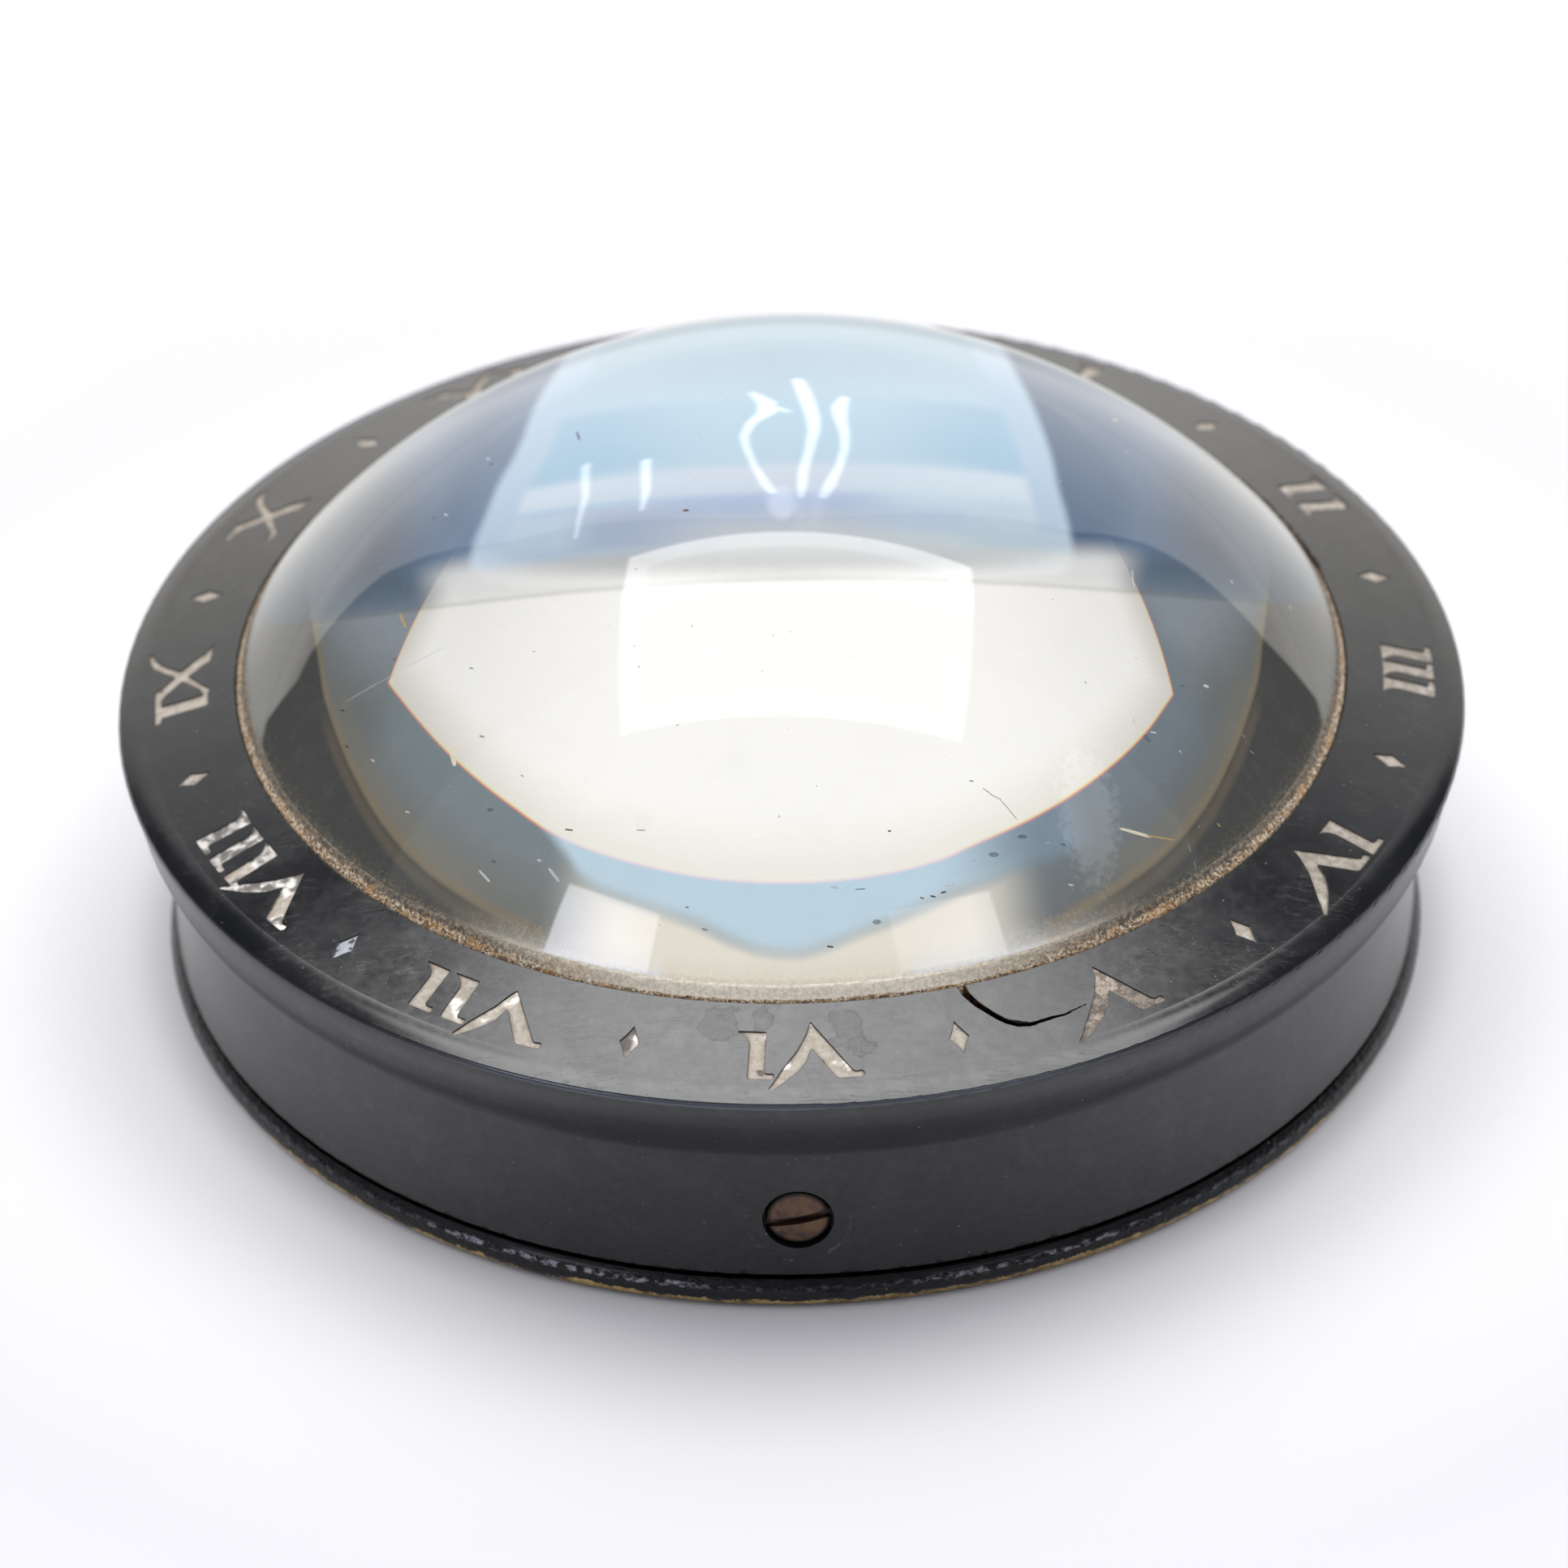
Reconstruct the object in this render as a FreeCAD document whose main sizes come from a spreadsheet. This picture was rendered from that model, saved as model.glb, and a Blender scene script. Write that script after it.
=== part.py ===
import FreeCAD, Part
import Sketcher
import os
import math

# Dome magnifier in a numeral ring: a brass base ring, a ring engraved with Roman numerals,
# a glass dome bedded in cement, and three slotted side screws.
# Frame: millimetres, +Z up.  Origin at the centre of the base's resting plane.
# -Y is the VI side of the ring, +X the III side, +Y the XII side, -X the IX side.

Vector = FreeCAD.Vector
doc = FreeCAD.newDocument("dome_magnifier")

# ---------------------------------------------------------------- driving sizes
# Radii are measured from the Z axis and heights from the resting plane.
SIZES = [
    # numeral ring
    ("flange_radius", 46.5), ("flange_edge_height", 19.05), ("flange_edge_top", 19.55),
    ("flange_edge_round", 0.45), ("flange_round_radius", 0.50), ("flange_top_drop", 0.02),
    ("bore_radius", 38.2), ("bore_top_height", 21.80), ("bore_edge_break", 0.18),
    ("lip_foot_radius", 45.8), ("lip_foot_height", 16.85),
    ("skirt_radius", 43.2), ("skirt_top_height", 12.9), ("moulding_radius", 4.31),
    ("skirt_bottom_height", 2.45), ("skirt_bottom_break", 0.2),
    ("thread_bore_radius", 40.95), ("shoulder_height", 13.4),
    # glass
    ("dome_radius", 46.97), ("dome_centre_drop", 5.45),
    ("lens_edge_radius", 37.7), ("lens_base_height", 1.40), ("lens_edge_break", 0.40),
    # cement
    ("cement_bottom_height", 15.2), ("cement_top_height", 21.72), ("cement_crown", 0.22),
    ("cement_crown_radius", 0.9),
    # base ring
    ("bead_radius", 43.70), ("bead_height", 2.20), ("bead_round", 1.0),
    ("bead_top_inset", 0.55), ("bead_top_radius", 1.32), ("seat_drop", 0.12),
    ("seat_radius", 42.35), ("spigot_radius", 40.90), ("spigot_inner_radius", 37.95),
    ("spigot_top_height", 12.9), ("spigot_lead", 0.3), ("ledge_radius", 36.4),
    ("ledge_height", 1.35), ("base_inner_break", 0.4),
    # side screws and their holes
    ("screw_height", 7.30), ("screw_head_radius", 2.2), ("screw_head_edge", 42.95),
    ("screw_head_crown", 0.3), ("screw_crown_radius", 7.6), ("screw_seat_radius", 42.02),
    ("screw_head_break", 0.12), ("screw_shank_radius", 1.45), ("screw_tip_radius", 38.15),
    ("screw_tip_break", 0.35), ("screw_slot_width", 0.62), ("screw_slot_length", 6.0),
    ("screw_slot_depth", 0.5), ("sink_radius", 2.4), ("sink_floor", 42.0),
    ("screw_hole_radius", 1.5), ("tapped_hole_run_in", 2.0),
    # engraving
    ("engraving_depth", 0.45), ("filler_recess", 0.09), ("crack_depth", 0.9),
    ("lozenge_length", 2.55), ("lozenge_width", 1.36), ("lozenge_circle", 42.25),
    ("engraving_circle", 42.0),
]
SCREW_COUNT = 3
dims = dict(SIZES)
sheet = doc.addObject("Spreadsheet::Sheet", "Dims")
for row, (alias, size) in enumerate(SIZES, start=1):
    sheet.set("A%d" % row, alias)
    sheet.set("B%d" % row, "%.4f" % size)
    sheet.setAlias("B%d" % row, alias)
doc.recompute()


# ---------------------------------------------------------------- sketch helpers
# Sketcher's own numbers for the sketch axes and for the points of a curve.
H_AXIS, V_AXIS = -1, -2
START, END, CENTRE = 1, 2, 3
ORIGIN = (H_AXIS, START)


def value_of(text):
    """Value of a sum of sheet aliases and plain numbers, such as 'bore_radius - 0.5'."""
    total, sign = 0.0, 1.0
    for word in text.split():
        if word == "+":
            sign = 1.0
        elif word == "-":
            sign = -1.0
        else:
            total += sign * (dims[word] if word in dims else float(word))
            sign = 1.0
    return total


def formula(text):
    """The same sum as a FreeCAD expression on the sheet."""
    return " ".join("Dims." + word if word in dims else word for word in text.split())


def constrain(sketch, kind, *refs):
    return sketch.addConstraint(Sketcher.Constraint(kind, *refs))


def dimension(sketch, label, text, kind, *refs):
    """Named dimension driven by a sum of aliases."""
    index = constrain(sketch, kind, *refs, value_of(text))
    sketch.renameConstraint(index, label)
    sketch.setExpression("Constraints." + label, formula(text))


def pin(sketch, curve, point, label, x_text, y_text):
    """Hold one sketch point at a place given by two sums of aliases."""
    for text, kind, suffix, axis in ((x_text, "DistanceX", "_x", V_AXIS),
                                     (y_text, "DistanceY", "_y", H_AXIS)):
        if abs(value_of(text)) < 1e-9:
            constrain(sketch, "PointOnObject", curve, point, axis)
        else:
            dimension(sketch, label + suffix, text, kind, *ORIGIN, curve, point)


def join(sketch, curves):
    """Close a loop of (curve, first point, last point) by joining each to the next."""
    for i, (curve, _, last) in enumerate(curves):
        following, first, _ = curves[(i + 1) % len(curves)]
        constrain(sketch, "Coincident", curve, last, following, first)


def add_polygon(sketch, corners):
    curves = []
    for i, corner in enumerate(corners):
        line = Part.LineSegment(corner, corners[(i + 1) % len(corners)])
        curves.append((sketch.addGeometry(line, False), START, END))
    join(sketch, curves)


def arc_between(first, last, radius, bulge):
    """Arc from first to last, with the number of the arc's point at each.

    A bulge of +1 curves to the left of the way from first to last, -1 to the right.
    """
    dx, dy = last[0] - first[0], last[1] - first[1]
    chord = math.hypot(dx, dy)
    offset = math.sqrt(max(radius * radius - chord * chord / 4.0, 0.0))
    centre_x = (first[0] + last[0]) / 2.0 + bulge * dy / chord * offset
    centre_y = (first[1] + last[1]) / 2.0 - bulge * dx / chord * offset
    begin = math.atan2(first[1] - centre_y, first[0] - centre_x)
    finish = math.atan2(last[1] - centre_y, last[0] - centre_x)
    points = (START, END)
    # Arcs are stored counter-clockwise; a left bulge runs clockwise, so its ends swap.
    if bulge > 0:
        begin, finish = finish, begin
        points = (END, START)
    if finish <= begin:
        finish += 2 * math.pi
    circle = Part.Circle(Vector(centre_x, centre_y, 0), Vector(0, 0, 1), radius)
    return Part.ArcOfCircle(circle, begin, finish), points


def closed_profile(sketch, points, arcs):
    """Closed outline through points; arcs maps a segment index to (radius text, bulge)."""
    places = [(value_of(x), value_of(y)) for x, y in points]
    curves = []
    for i, place in enumerate(places):
        following = places[(i + 1) % len(places)]
        if i in arcs:
            radius_text, bulge = arcs[i]
            curve, ends = arc_between(place, following, value_of(radius_text), bulge)
        else:
            curve, ends = Part.LineSegment(Vector(*place, 0), Vector(*following, 0)), (START, END)
        curves.append((sketch.addGeometry(curve, False), *ends))
    join(sketch, curves)
    for i, (curve, first, _) in enumerate(curves):
        pin(sketch, curve, first, "p%d" % i, *points[i])
    for i, (radius_text, _) in arcs.items():
        dimension(sketch, "arc%d" % i, radius_text, "Radius", curves[i][0])


# ---------------------------------------------------------------- body helpers
def new_body(label):
    return doc.addObject("PartDesign::Body", label)


def origin_feature(body, role):
    return [item for item in body.Origin.OriginFeatures if item.Role == role][0]


def new_sketch(body, name, role="XZ_Plane"):
    sketch = body.newObject("Sketcher::SketchObject", name)
    sketch.AttachmentSupport = [(origin_feature(body, role), "")]
    sketch.MapMode = "FlatFace"
    return sketch


def revolve(body, name, sketch):
    """Full turn of a sketch about Z."""
    doc.recompute()
    turning = body.newObject("PartDesign::Revolution", name)
    turning.Profile = sketch
    turning.ReferenceAxis = (sketch, ["V_Axis"])
    turning.Angle = 360.0
    doc.recompute()


def turned(body, name, points, arcs):
    """Solid of revolution from an outline of (radius, height) points."""
    sketch = new_sketch(body, name + "_outline")
    closed_profile(sketch, points, arcs)
    revolve(body, name, sketch)


def must_cut(body, feature, before):
    """Recompute and make sure the feature took material away."""
    doc.recompute()
    after = body.Shape.Volume
    if not after < before - 1e-3:
        raise RuntimeError("%s removed nothing (%.4f -> %.4f)" % (feature.Label, before, after))


def radial_hole(body, name, sketch_name, radius_text, start_text):
    """Round pocket at the VI side, from a distance off the axis outward through the wall."""
    before = body.Shape.Volume
    sketch = new_sketch(body, sketch_name)
    circle = Part.Circle(Vector(0, dims["screw_height"], 0), Vector(0, 0, 1),
                         value_of(radius_text))
    sketch.addGeometry(circle, False)
    constrain(sketch, "PointOnObject", 0, CENTRE, V_AXIS)
    dimension(sketch, "height", "screw_height", "DistanceY", *ORIGIN, 0, CENTRE)
    dimension(sketch, "radius", radius_text, "Radius", 0)
    sketch.setExpression("AttachmentOffset.Base.z", formula(start_text))
    doc.recompute()
    pocket = body.newObject("PartDesign::Pocket", name)
    pocket.Profile = sketch
    pocket.Type = 1          # through all
    pocket.Reversed = True   # outward, away from the axis
    must_cut(body, pocket, before)
    return pocket


def repeat_round(body, name, pockets):
    """Repeat pockets at every screw, evenly about Z."""
    before = body.Shape.Volume
    pattern = body.newObject("PartDesign::PolarPattern", name)
    pattern.Originals = pockets
    pattern.Axis = (origin_feature(body, "Z_Axis"), [""])
    pattern.Angle = 360.0
    pattern.Occurrences = SCREW_COUNT
    body.Tip = pattern
    must_cut(body, pattern, before)


# ---------------------------------------------------------------- numeral ring, plain turning
def make_ring_blank():
    blank = new_body("ring_blank")
    turned(blank, "ring_turning", [
        ("bore_radius + bore_edge_break", "bore_top_height"),
        ("flange_radius - flange_edge_round", "flange_edge_top - flange_top_drop"),
        ("flange_radius", "flange_edge_height"),
        ("lip_foot_radius", "lip_foot_height"),
        ("skirt_radius", "skirt_top_height"),
        ("skirt_radius", "skirt_bottom_height + skirt_bottom_break"),
        ("skirt_radius - skirt_bottom_break", "skirt_bottom_height"),
        ("thread_bore_radius", "skirt_bottom_height"),
        ("thread_bore_radius", "shoulder_height"),
        ("bore_radius", "shoulder_height"),
        ("bore_radius", "bore_top_height - bore_edge_break"),
    ], {1: ("flange_round_radius", 1), 3: ("moulding_radius", 1)})
    # Sunk, stepped screw holes through the skirt, at VI, II and X.
    sink = radial_hole(blank, "screw_sink", "sink_circle", "sink_radius", "sink_floor")
    hole = radial_hole(blank, "screw_hole", "hole_circle", "screw_hole_radius", "bore_radius")
    repeat_round(blank, "screw_hole_pattern", [sink, hole])
    return blank


# ---------------------------------------------------------------- letter strokes
# Outlines in (u, v): u runs clockwise round the ring, v outward from the foot of the letter.
LETTER_HEIGHT = 3.75
CORNER_BREAK = 0.07        # small chamfer, as a worn graver leaves it
CORNER_BREAK_LIMIT = 0.3   # largest share of a side that a chamfer takes


def soften(outline):
    """Break each corner of an outline by a small chamfer."""
    softened = []
    for i, (u, v) in enumerate(outline):
        for end_u, end_v in (outline[i - 1], outline[(i + 1) % len(outline)]):
            share = min(CORNER_BREAK / math.hypot(end_u - u, end_v - v), CORNER_BREAK_LIMIT)
            softened.append((u + (end_u - u) * share, v + (end_v - v) * share))
    return softened


def shifted(outline, u_shift):
    return [(u_shift + u, v) for u, v in outline]


def stroke_I(u_centre, width=1.08, tall=LETTER_HEIGHT, flag=0.72, spur=0.92):
    """Upright with a spur at the foot (clockwise side) and a flag at the top (other side)."""
    half = width / 2.0
    return shifted([
        (-half - 0.02, 0.0), (half + spur, 0.0), (half + 0.58 * spur, 0.20),
        (half + 0.25 * spur, 0.46), (half + 0.02, 0.92), (half, 1.5), (half, tall),
        (-half - flag + 0.06, tall), (-half - flag, tall - 0.22),
        (-half - flag + 0.10, tall - 0.50), (-half - flag + 0.34, tall - 0.44),
        (-half, tall - 0.50), (-half, 1.2),
    ], u_centre)


# Slim stroke of the V: share of the way to the tip, and how far the edge stands off.
V_OUTER_EDGE = [(0.22, 0.10), (0.42, 0.22), (0.62, 0.25), (0.80, 0.16)]
V_INNER_EDGE = [(0.80, 0.22), (0.60, 0.30), (0.40, 0.32), (0.20, 0.26)]
V_BEND = 0.80              # power that bends the slim stroke


def stroke_V(u_apex, apex=-0.78, tall=LETTER_HEIGHT, tip=(2.75, 4.62), left=-2.65):
    """Broad left stroke with a flag, slim right stroke that curves to a raised tip."""
    flag, width = 0.55, 1.32
    foot, crotch = (0.30, 0.16), (-0.02, 1.32)
    tip_u, tip_v = tip

    def toward_tip(start, share):
        return (start[0] + (tip_u - start[0]) * share,
                start[1] + (tip_v - start[1]) * share ** V_BEND)

    outline = [(0.0, apex), foot]
    for share, standoff in V_OUTER_EDGE:
        u, v = toward_tip(foot, share)
        outline.append((u + standoff, v - 0.02))
    outline += [(tip_u + 0.04, tip_v - 0.10), (tip_u - 0.16, tip_v + 0.06)]
    for share, standoff in V_INNER_EDGE:
        u, v = toward_tip(crotch, share)
        outline.append((u - standoff * 0.72, v + standoff * 0.42))
    outline += [
        crotch, (left + width - 0.12, tall - 0.16), (left + width - 0.30, tall),
        (left - flag, tall), (left - flag - 0.14, tall - 0.26),
        (left - flag + 0.02, tall - 0.56), (left - 0.10, tall - 0.46),
        (left + 0.10, tall - 0.66),
    ]
    return shifted(outline, u_apex)


def stroke_X_broad(u_centre, spur=0.95):
    """Broad falling stroke of the X."""
    tall, reach, half, flag = LETTER_HEIGHT, 1.78, 0.56, 0.62
    return shifted([
        (reach - half + 0.02, 0.06), (reach + half + spur, 0.0),
        (reach + half + 0.5 * spur, 0.24), (reach + half - 0.06, 0.50),
        (reach + half - 0.34, 0.92), (0.62, 2.10), (-reach + half + 0.34, tall - 0.46),
        (-reach + half + 0.12, tall), (-reach - half - flag, tall),
        (-reach - half - flag - 0.12, tall - 0.28), (-reach - half - flag + 0.08, tall - 0.55),
        (-reach - half + 0.06, tall - 0.46), (-reach + 0.12, tall - 0.80), (-0.30, 1.62),
        (reach - half - 0.30, 0.50),
    ], u_centre)


def stroke_X_slim(u_centre, low=-2.45, hook=0.0):
    """Slim rising stroke of the X, with a tapered raised tip and a hooked foot."""
    tip_u, tip_v = 3.35, 4.52
    return shifted([
        (low + 0.05, 0.36), (low - hook, 0.46), (low - hook - 0.16, 0.10),
        (low - hook + 0.10, -0.08), (low + 0.62, -0.06), (low + 0.98, 0.30), (-0.10, 1.46),
        (0.62, 2.02), (1.45, 3.02), (2.05, 3.62), (2.72, tip_v - 0.42),
        (tip_u + 0.04, tip_v - 0.12), (tip_u - 0.06, tip_v + 0.08), (2.35, tip_v - 0.10),
        (1.62, 3.98), (0.80, 3.10), (0.10, 2.36), (-0.52, 1.84), (low + 0.66, 0.56),
    ], u_centre)


# ---------------------------------------------------------------- engraving tables
# hour: (radius of the letters' feet, stroke outlines)
NUMERALS = {
    1: (40.70, [stroke_I(-0.10)]),
    2: (40.72, [stroke_I(-1.32), stroke_I(1.28)]),
    3: (40.85, [stroke_I(-2.18, tall=3.60, spur=1.04), stroke_I(-0.26, tall=3.60, spur=1.06),
                stroke_I(1.70, tall=3.60)]),
    4: (40.58, [stroke_I(-2.36, spur=0.86),
                stroke_V(1.74, tip=(3.46, 4.30), apex=-0.62, tall=3.72)]),
    5: (40.42, [stroke_V(-0.08, tip=(3.78, 4.52), apex=-0.76, tall=3.66, left=-2.36)]),
    6: (40.60, [stroke_V(-1.10), stroke_I(2.50, flag=0.66)]),
    7: (40.42, [stroke_V(-1.98, tip=(2.46, 4.42), apex=-0.22, tall=3.70, left=-2.78),
                stroke_I(1.44, tall=3.50, flag=0.74), stroke_I(3.90, tall=3.50)]),
    8: (40.18, [stroke_V(-2.86, tip=(3.34, 4.40), apex=-0.44, tall=3.74, left=-2.56),
                stroke_I(0.60), stroke_I(2.82, spur=0.70), stroke_I(5.02, spur=0.80)]),
    9: (40.22, [stroke_I(-1.94, width=1.30, flag=0.62, spur=0.30), stroke_X_broad(1.62),
                stroke_X_slim(1.62, low=-2.72)]),
    10: (40.30, [stroke_X_broad(-0.36, spur=0.72), stroke_X_slim(-0.36, low=-2.62, hook=0.35)]),
    11: (40.40, [stroke_X_broad(-1.50), stroke_X_slim(-1.50, hook=0.1), stroke_I(2.72)]),
    12: (40.45, [stroke_X_broad(-2.30), stroke_X_slim(-2.30, hook=0.1),
                 stroke_I(1.62, spur=0.80), stroke_I(3.86)]),
}
HOUR_ANGLE = 30

# Clockwise shift of each hand-set lozenge from the middle between two hours, XII-I first.
LOZENGE_SHIFTS = [0.0, -0.32, -0.36, -0.41, -0.41, 0.02, 0.04, 0.31, 0.61, 0.34, -0.02, 0.0]
# Lozenge outline as (share of half width, share of half length).
LOZENGE_OUTLINE = [(0, -1), (0.52, -0.42), (1, 0), (0.46, 0.46), (0, 1), (-0.50, 0.44)]
LOZENGE_SIDE_LIFT = 0.02   # v of the corner on the counter-clockwise side, in mm

# Hairline crack from the bore into the flange, between VI and V: (clock degrees, radius, width)
CRACK = [
    (163.32, 36.9, 0.60), (163.30, 37.85, 0.58), (162.95, 39.10, 0.50), (162.35, 40.05, 0.44),
    (161.80, 40.60, 0.40), (160.95, 41.40, 0.34), (160.25, 41.85, 0.30), (159.40, 42.28, 0.26),
    (158.40, 42.48, 0.23), (157.50, 42.48, 0.20), (156.20, 42.42, 0.19), (155.05, 42.46, 0.14),
    (154.30, 42.42, 0.08),
]
CRACK_JAG = 0.05           # sideways wander of the crack's edges
CRACK_JAG_STEP = 5.1       # phase step of the wander per station, radians
CRACK_FULL_JAG_WIDTH = 0.3  # below this width the wander fades

LAYER_INNER, LAYER_OUTER = 36.0, 46.3   # radii that bound the conical layers
ABOVE_FACE = 1.5                        # how far a cutting layer stands above the face
PRISM_BOTTOM, PRISM_TOP = 17.0, 24.0    # heights that bound the marks' prisms


# ---------------------------------------------------------------- engraving helpers
# Each mark is a straight-sided prism limited by a layer that follows the conical face,
# up to above the face for the cut in the ring, and to just below it for the filler.
def cone_height(radius):
    """Height of the flange's conical upper face."""
    outer_radius = dims["flange_radius"] - dims["flange_edge_round"]
    slope = (dims["bore_top_height"] - dims["flange_edge_top"]) / \
            (outer_radius - dims["bore_radius"] - dims["bore_edge_break"])
    return dims["flange_edge_top"] - dims["flange_top_drop"] + (outer_radius - radius) * slope


def layer(label, low, high):
    """Conical layer between two offsets from the flange's upper face."""
    inner, outer = cone_height(LAYER_INNER), cone_height(LAYER_OUTER)
    corners = [Vector(LAYER_INNER, 0, inner + low), Vector(LAYER_OUTER, 0, outer + low),
               Vector(LAYER_OUTER, 0, outer + high), Vector(LAYER_INNER, 0, inner + high)]
    section = Part.Face(Part.makePolygon(corners + corners[:1]))
    feature = doc.addObject("Part::Feature", label)
    feature.Shape = section.revolve(Vector(0, 0, 0), Vector(0, 0, 1), 360)
    return feature


def on_ring(clock_degrees, outline, foot_radius):
    """Lay a (u, v) outline on the ring, u measured along the engraving circle."""
    points = []
    for u, v in outline:
        angle = math.radians(clock_degrees) + u / dims["engraving_circle"]
        radius = foot_radius + v
        points.append(Vector(radius * math.sin(angle), radius * math.cos(angle), 0))
    return points


def prism(label, loops):
    """Upright prism over closed polygons in the XY plane."""
    sketch = doc.addObject("Sketcher::SketchObject", label + "_outline")
    for loop in loops:
        add_polygon(sketch, loop)
    extrusion = doc.addObject("Part::Extrusion", label)
    extrusion.Base = sketch
    extrusion.DirMode = "Custom"
    extrusion.Dir = Vector(0, 0, 1)
    extrusion.LengthFwd = PRISM_TOP
    extrusion.LengthRev = -PRISM_BOTTOM
    extrusion.Solid = True
    return extrusion


def fused(label, pieces):
    if len(pieces) == 1:
        return pieces[0]
    fusion = doc.addObject("Part::MultiFuse", label)
    fusion.Shapes = pieces
    fusion.Refine = True
    return fusion


def boolean(kind, label, base, tool):
    feature = doc.addObject("Part::" + kind, label)
    feature.Base = base
    feature.Tool = tool
    return feature


# ---------------------------------------------------------------- engraved marks
def make_numeral_prism(hour):
    foot_radius, strokes = NUMERALS[hour]
    clock = hour * HOUR_ANGLE % 360
    letters = [prism("letter_%02d_%d" % (hour, k), [on_ring(clock, soften(stroke), foot_radius)])
               for k, stroke in enumerate(strokes, start=1)]
    return fused("letters_%02d" % hour, letters)


def make_lozenge_prism():
    half_length, half_width = dims["lozenge_length"] / 2.0, dims["lozenge_width"] / 2.0
    shape = [(half_width * across, half_length * along) for across, along in LOZENGE_OUTLINE]
    shape += [(-half_width, LOZENGE_SIDE_LIFT), (-half_width * 0.50, -half_length * 0.46)]
    loops = []
    for i, shift in enumerate(LOZENGE_SHIFTS):
        clock = (i + 0.5) * HOUR_ANGLE
        loops.append(on_ring(clock, shifted(shape, shift), dims["lozenge_circle"]))
    return prism("lozenge_prisms", loops)


def make_crack_prism():
    places = [(radius * math.sin(math.radians(clock)), radius * math.cos(math.radians(clock)))
              for clock, radius, _ in CRACK]
    left, right = [], []
    for i, (x, y) in enumerate(places):
        width = CRACK[i][2]
        before = places[max(i - 1, 0)]
        after = places[min(i + 1, len(places) - 1)]
        along_x, along_y = after[0] - before[0], after[1] - before[1]
        run = math.hypot(along_x, along_y)
        left_x, left_y = -along_y / run, along_x / run
        jag = CRACK_JAG * math.sin(CRACK_JAG_STEP * i) * min(1.0, width / CRACK_FULL_JAG_WIDTH)
        to_left, to_right = width / 2 + jag, width / 2 - jag
        left.append(Vector(x + left_x * to_left, y + left_y * to_left, 0))
        right.append(Vector(x - left_x * to_right, y - left_y * to_right, 0))
    return prism("crack_prism", [left + right[::-1]])


def make_engraved_ring(blank):
    """Inlays of filler, and the ring with its marks and crack cut."""
    depth = dims["engraving_depth"]
    cut_layer = layer("engraving_layer", -depth, ABOVE_FACE)
    fill_layer = layer("filler_layer", -depth, -dims["filler_recess"])
    crack_layer = layer("crack_layer", -dims["crack_depth"], ABOVE_FACE)

    mark_prisms, inlays = [], []
    for hour in NUMERALS:
        mark_prisms.append(make_numeral_prism(hour))
        inlays.append(boolean("Common", "numeral_%02d" % hour, mark_prisms[-1], fill_layer))
    mark_prisms.append(make_lozenge_prism())
    inlays.append(boolean("Common", "lozenge_inlays", mark_prisms[-1], fill_layer))

    crack_tool = boolean("Common", "crack_tool", make_crack_prism(), crack_layer)
    marks = fused("all_marks", mark_prisms)
    mark_tool = boolean("Common", "engraving_tool", marks, cut_layer)
    engraved = boolean("Cut", "engraved_ring", blank, mark_tool)
    return inlays + [boolean("Cut", "bezel_ring", engraved, crack_tool)]


# ---------------------------------------------------------------- glass dome
def make_lens():
    lens = new_body("dome_lens")
    sketch = new_sketch(lens, "dome_outline")
    radius, drop = dims["dome_radius"], dims["dome_centre_drop"]
    edge, bottom, edge_break = (dims["lens_edge_radius"], dims["lens_base_height"],
                                dims["lens_edge_break"])
    edge_rise = math.sqrt(radius ** 2 - edge ** 2)   # above the dome's centre
    circle = Part.Circle(Vector(0, -drop, 0), Vector(0, 0, 1), radius)
    edge_angle = math.atan2(edge_rise, edge)
    sketch.addGeometry(Part.ArcOfCircle(circle, edge_angle, math.pi / 2), False)
    # From the apex down the axis, out along the base and up the edge.
    points = [Vector(0, radius - drop, 0), Vector(0, bottom, 0),
              Vector(edge - edge_break, bottom, 0), Vector(edge, bottom + edge_break, 0),
              Vector(edge, edge_rise - drop, 0)]
    for first, last in zip(points, points[1:]):
        sketch.addGeometry(Part.LineSegment(first, last), False)
    arc, axis_line, bevel, edge_line = 0, 1, 3, 4
    join(sketch, [(curve, START, END) for curve in range(5)])
    constrain(sketch, "PointOnObject", arc, CENTRE, V_AXIS)
    constrain(sketch, "PointOnObject", axis_line, START, V_AXIS)
    constrain(sketch, "PointOnObject", axis_line, END, V_AXIS)
    dimension(sketch, "centre_drop", "dome_centre_drop", "DistanceY", arc, CENTRE, *ORIGIN)
    dimension(sketch, "dome_r", "dome_radius", "Radius", arc)
    dimension(sketch, "base_z", "lens_base_height", "DistanceY", *ORIGIN, axis_line, END)
    pin(sketch, bevel, START, "foot", "lens_edge_radius - lens_edge_break", "lens_base_height")
    pin(sketch, edge_line, START, "edge", "lens_edge_radius", "lens_base_height + lens_edge_break")
    constrain(sketch, "Vertical", edge_line)
    revolve(lens, "dome_turning", sketch)
    return lens


# ---------------------------------------------------------------- bedding cement round the glass
def make_cement():
    cement = new_body("lens_cement")
    turned(cement, "cement_bead", [
        ("lens_edge_radius", "cement_bottom_height"),
        ("bore_radius", "cement_bottom_height"),
        ("bore_radius", "cement_top_height - bore_edge_break"),
        ("lens_edge_radius", "cement_top_height + cement_crown"),
    ], {2: ("cement_crown_radius", -1)})
    return cement


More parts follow.
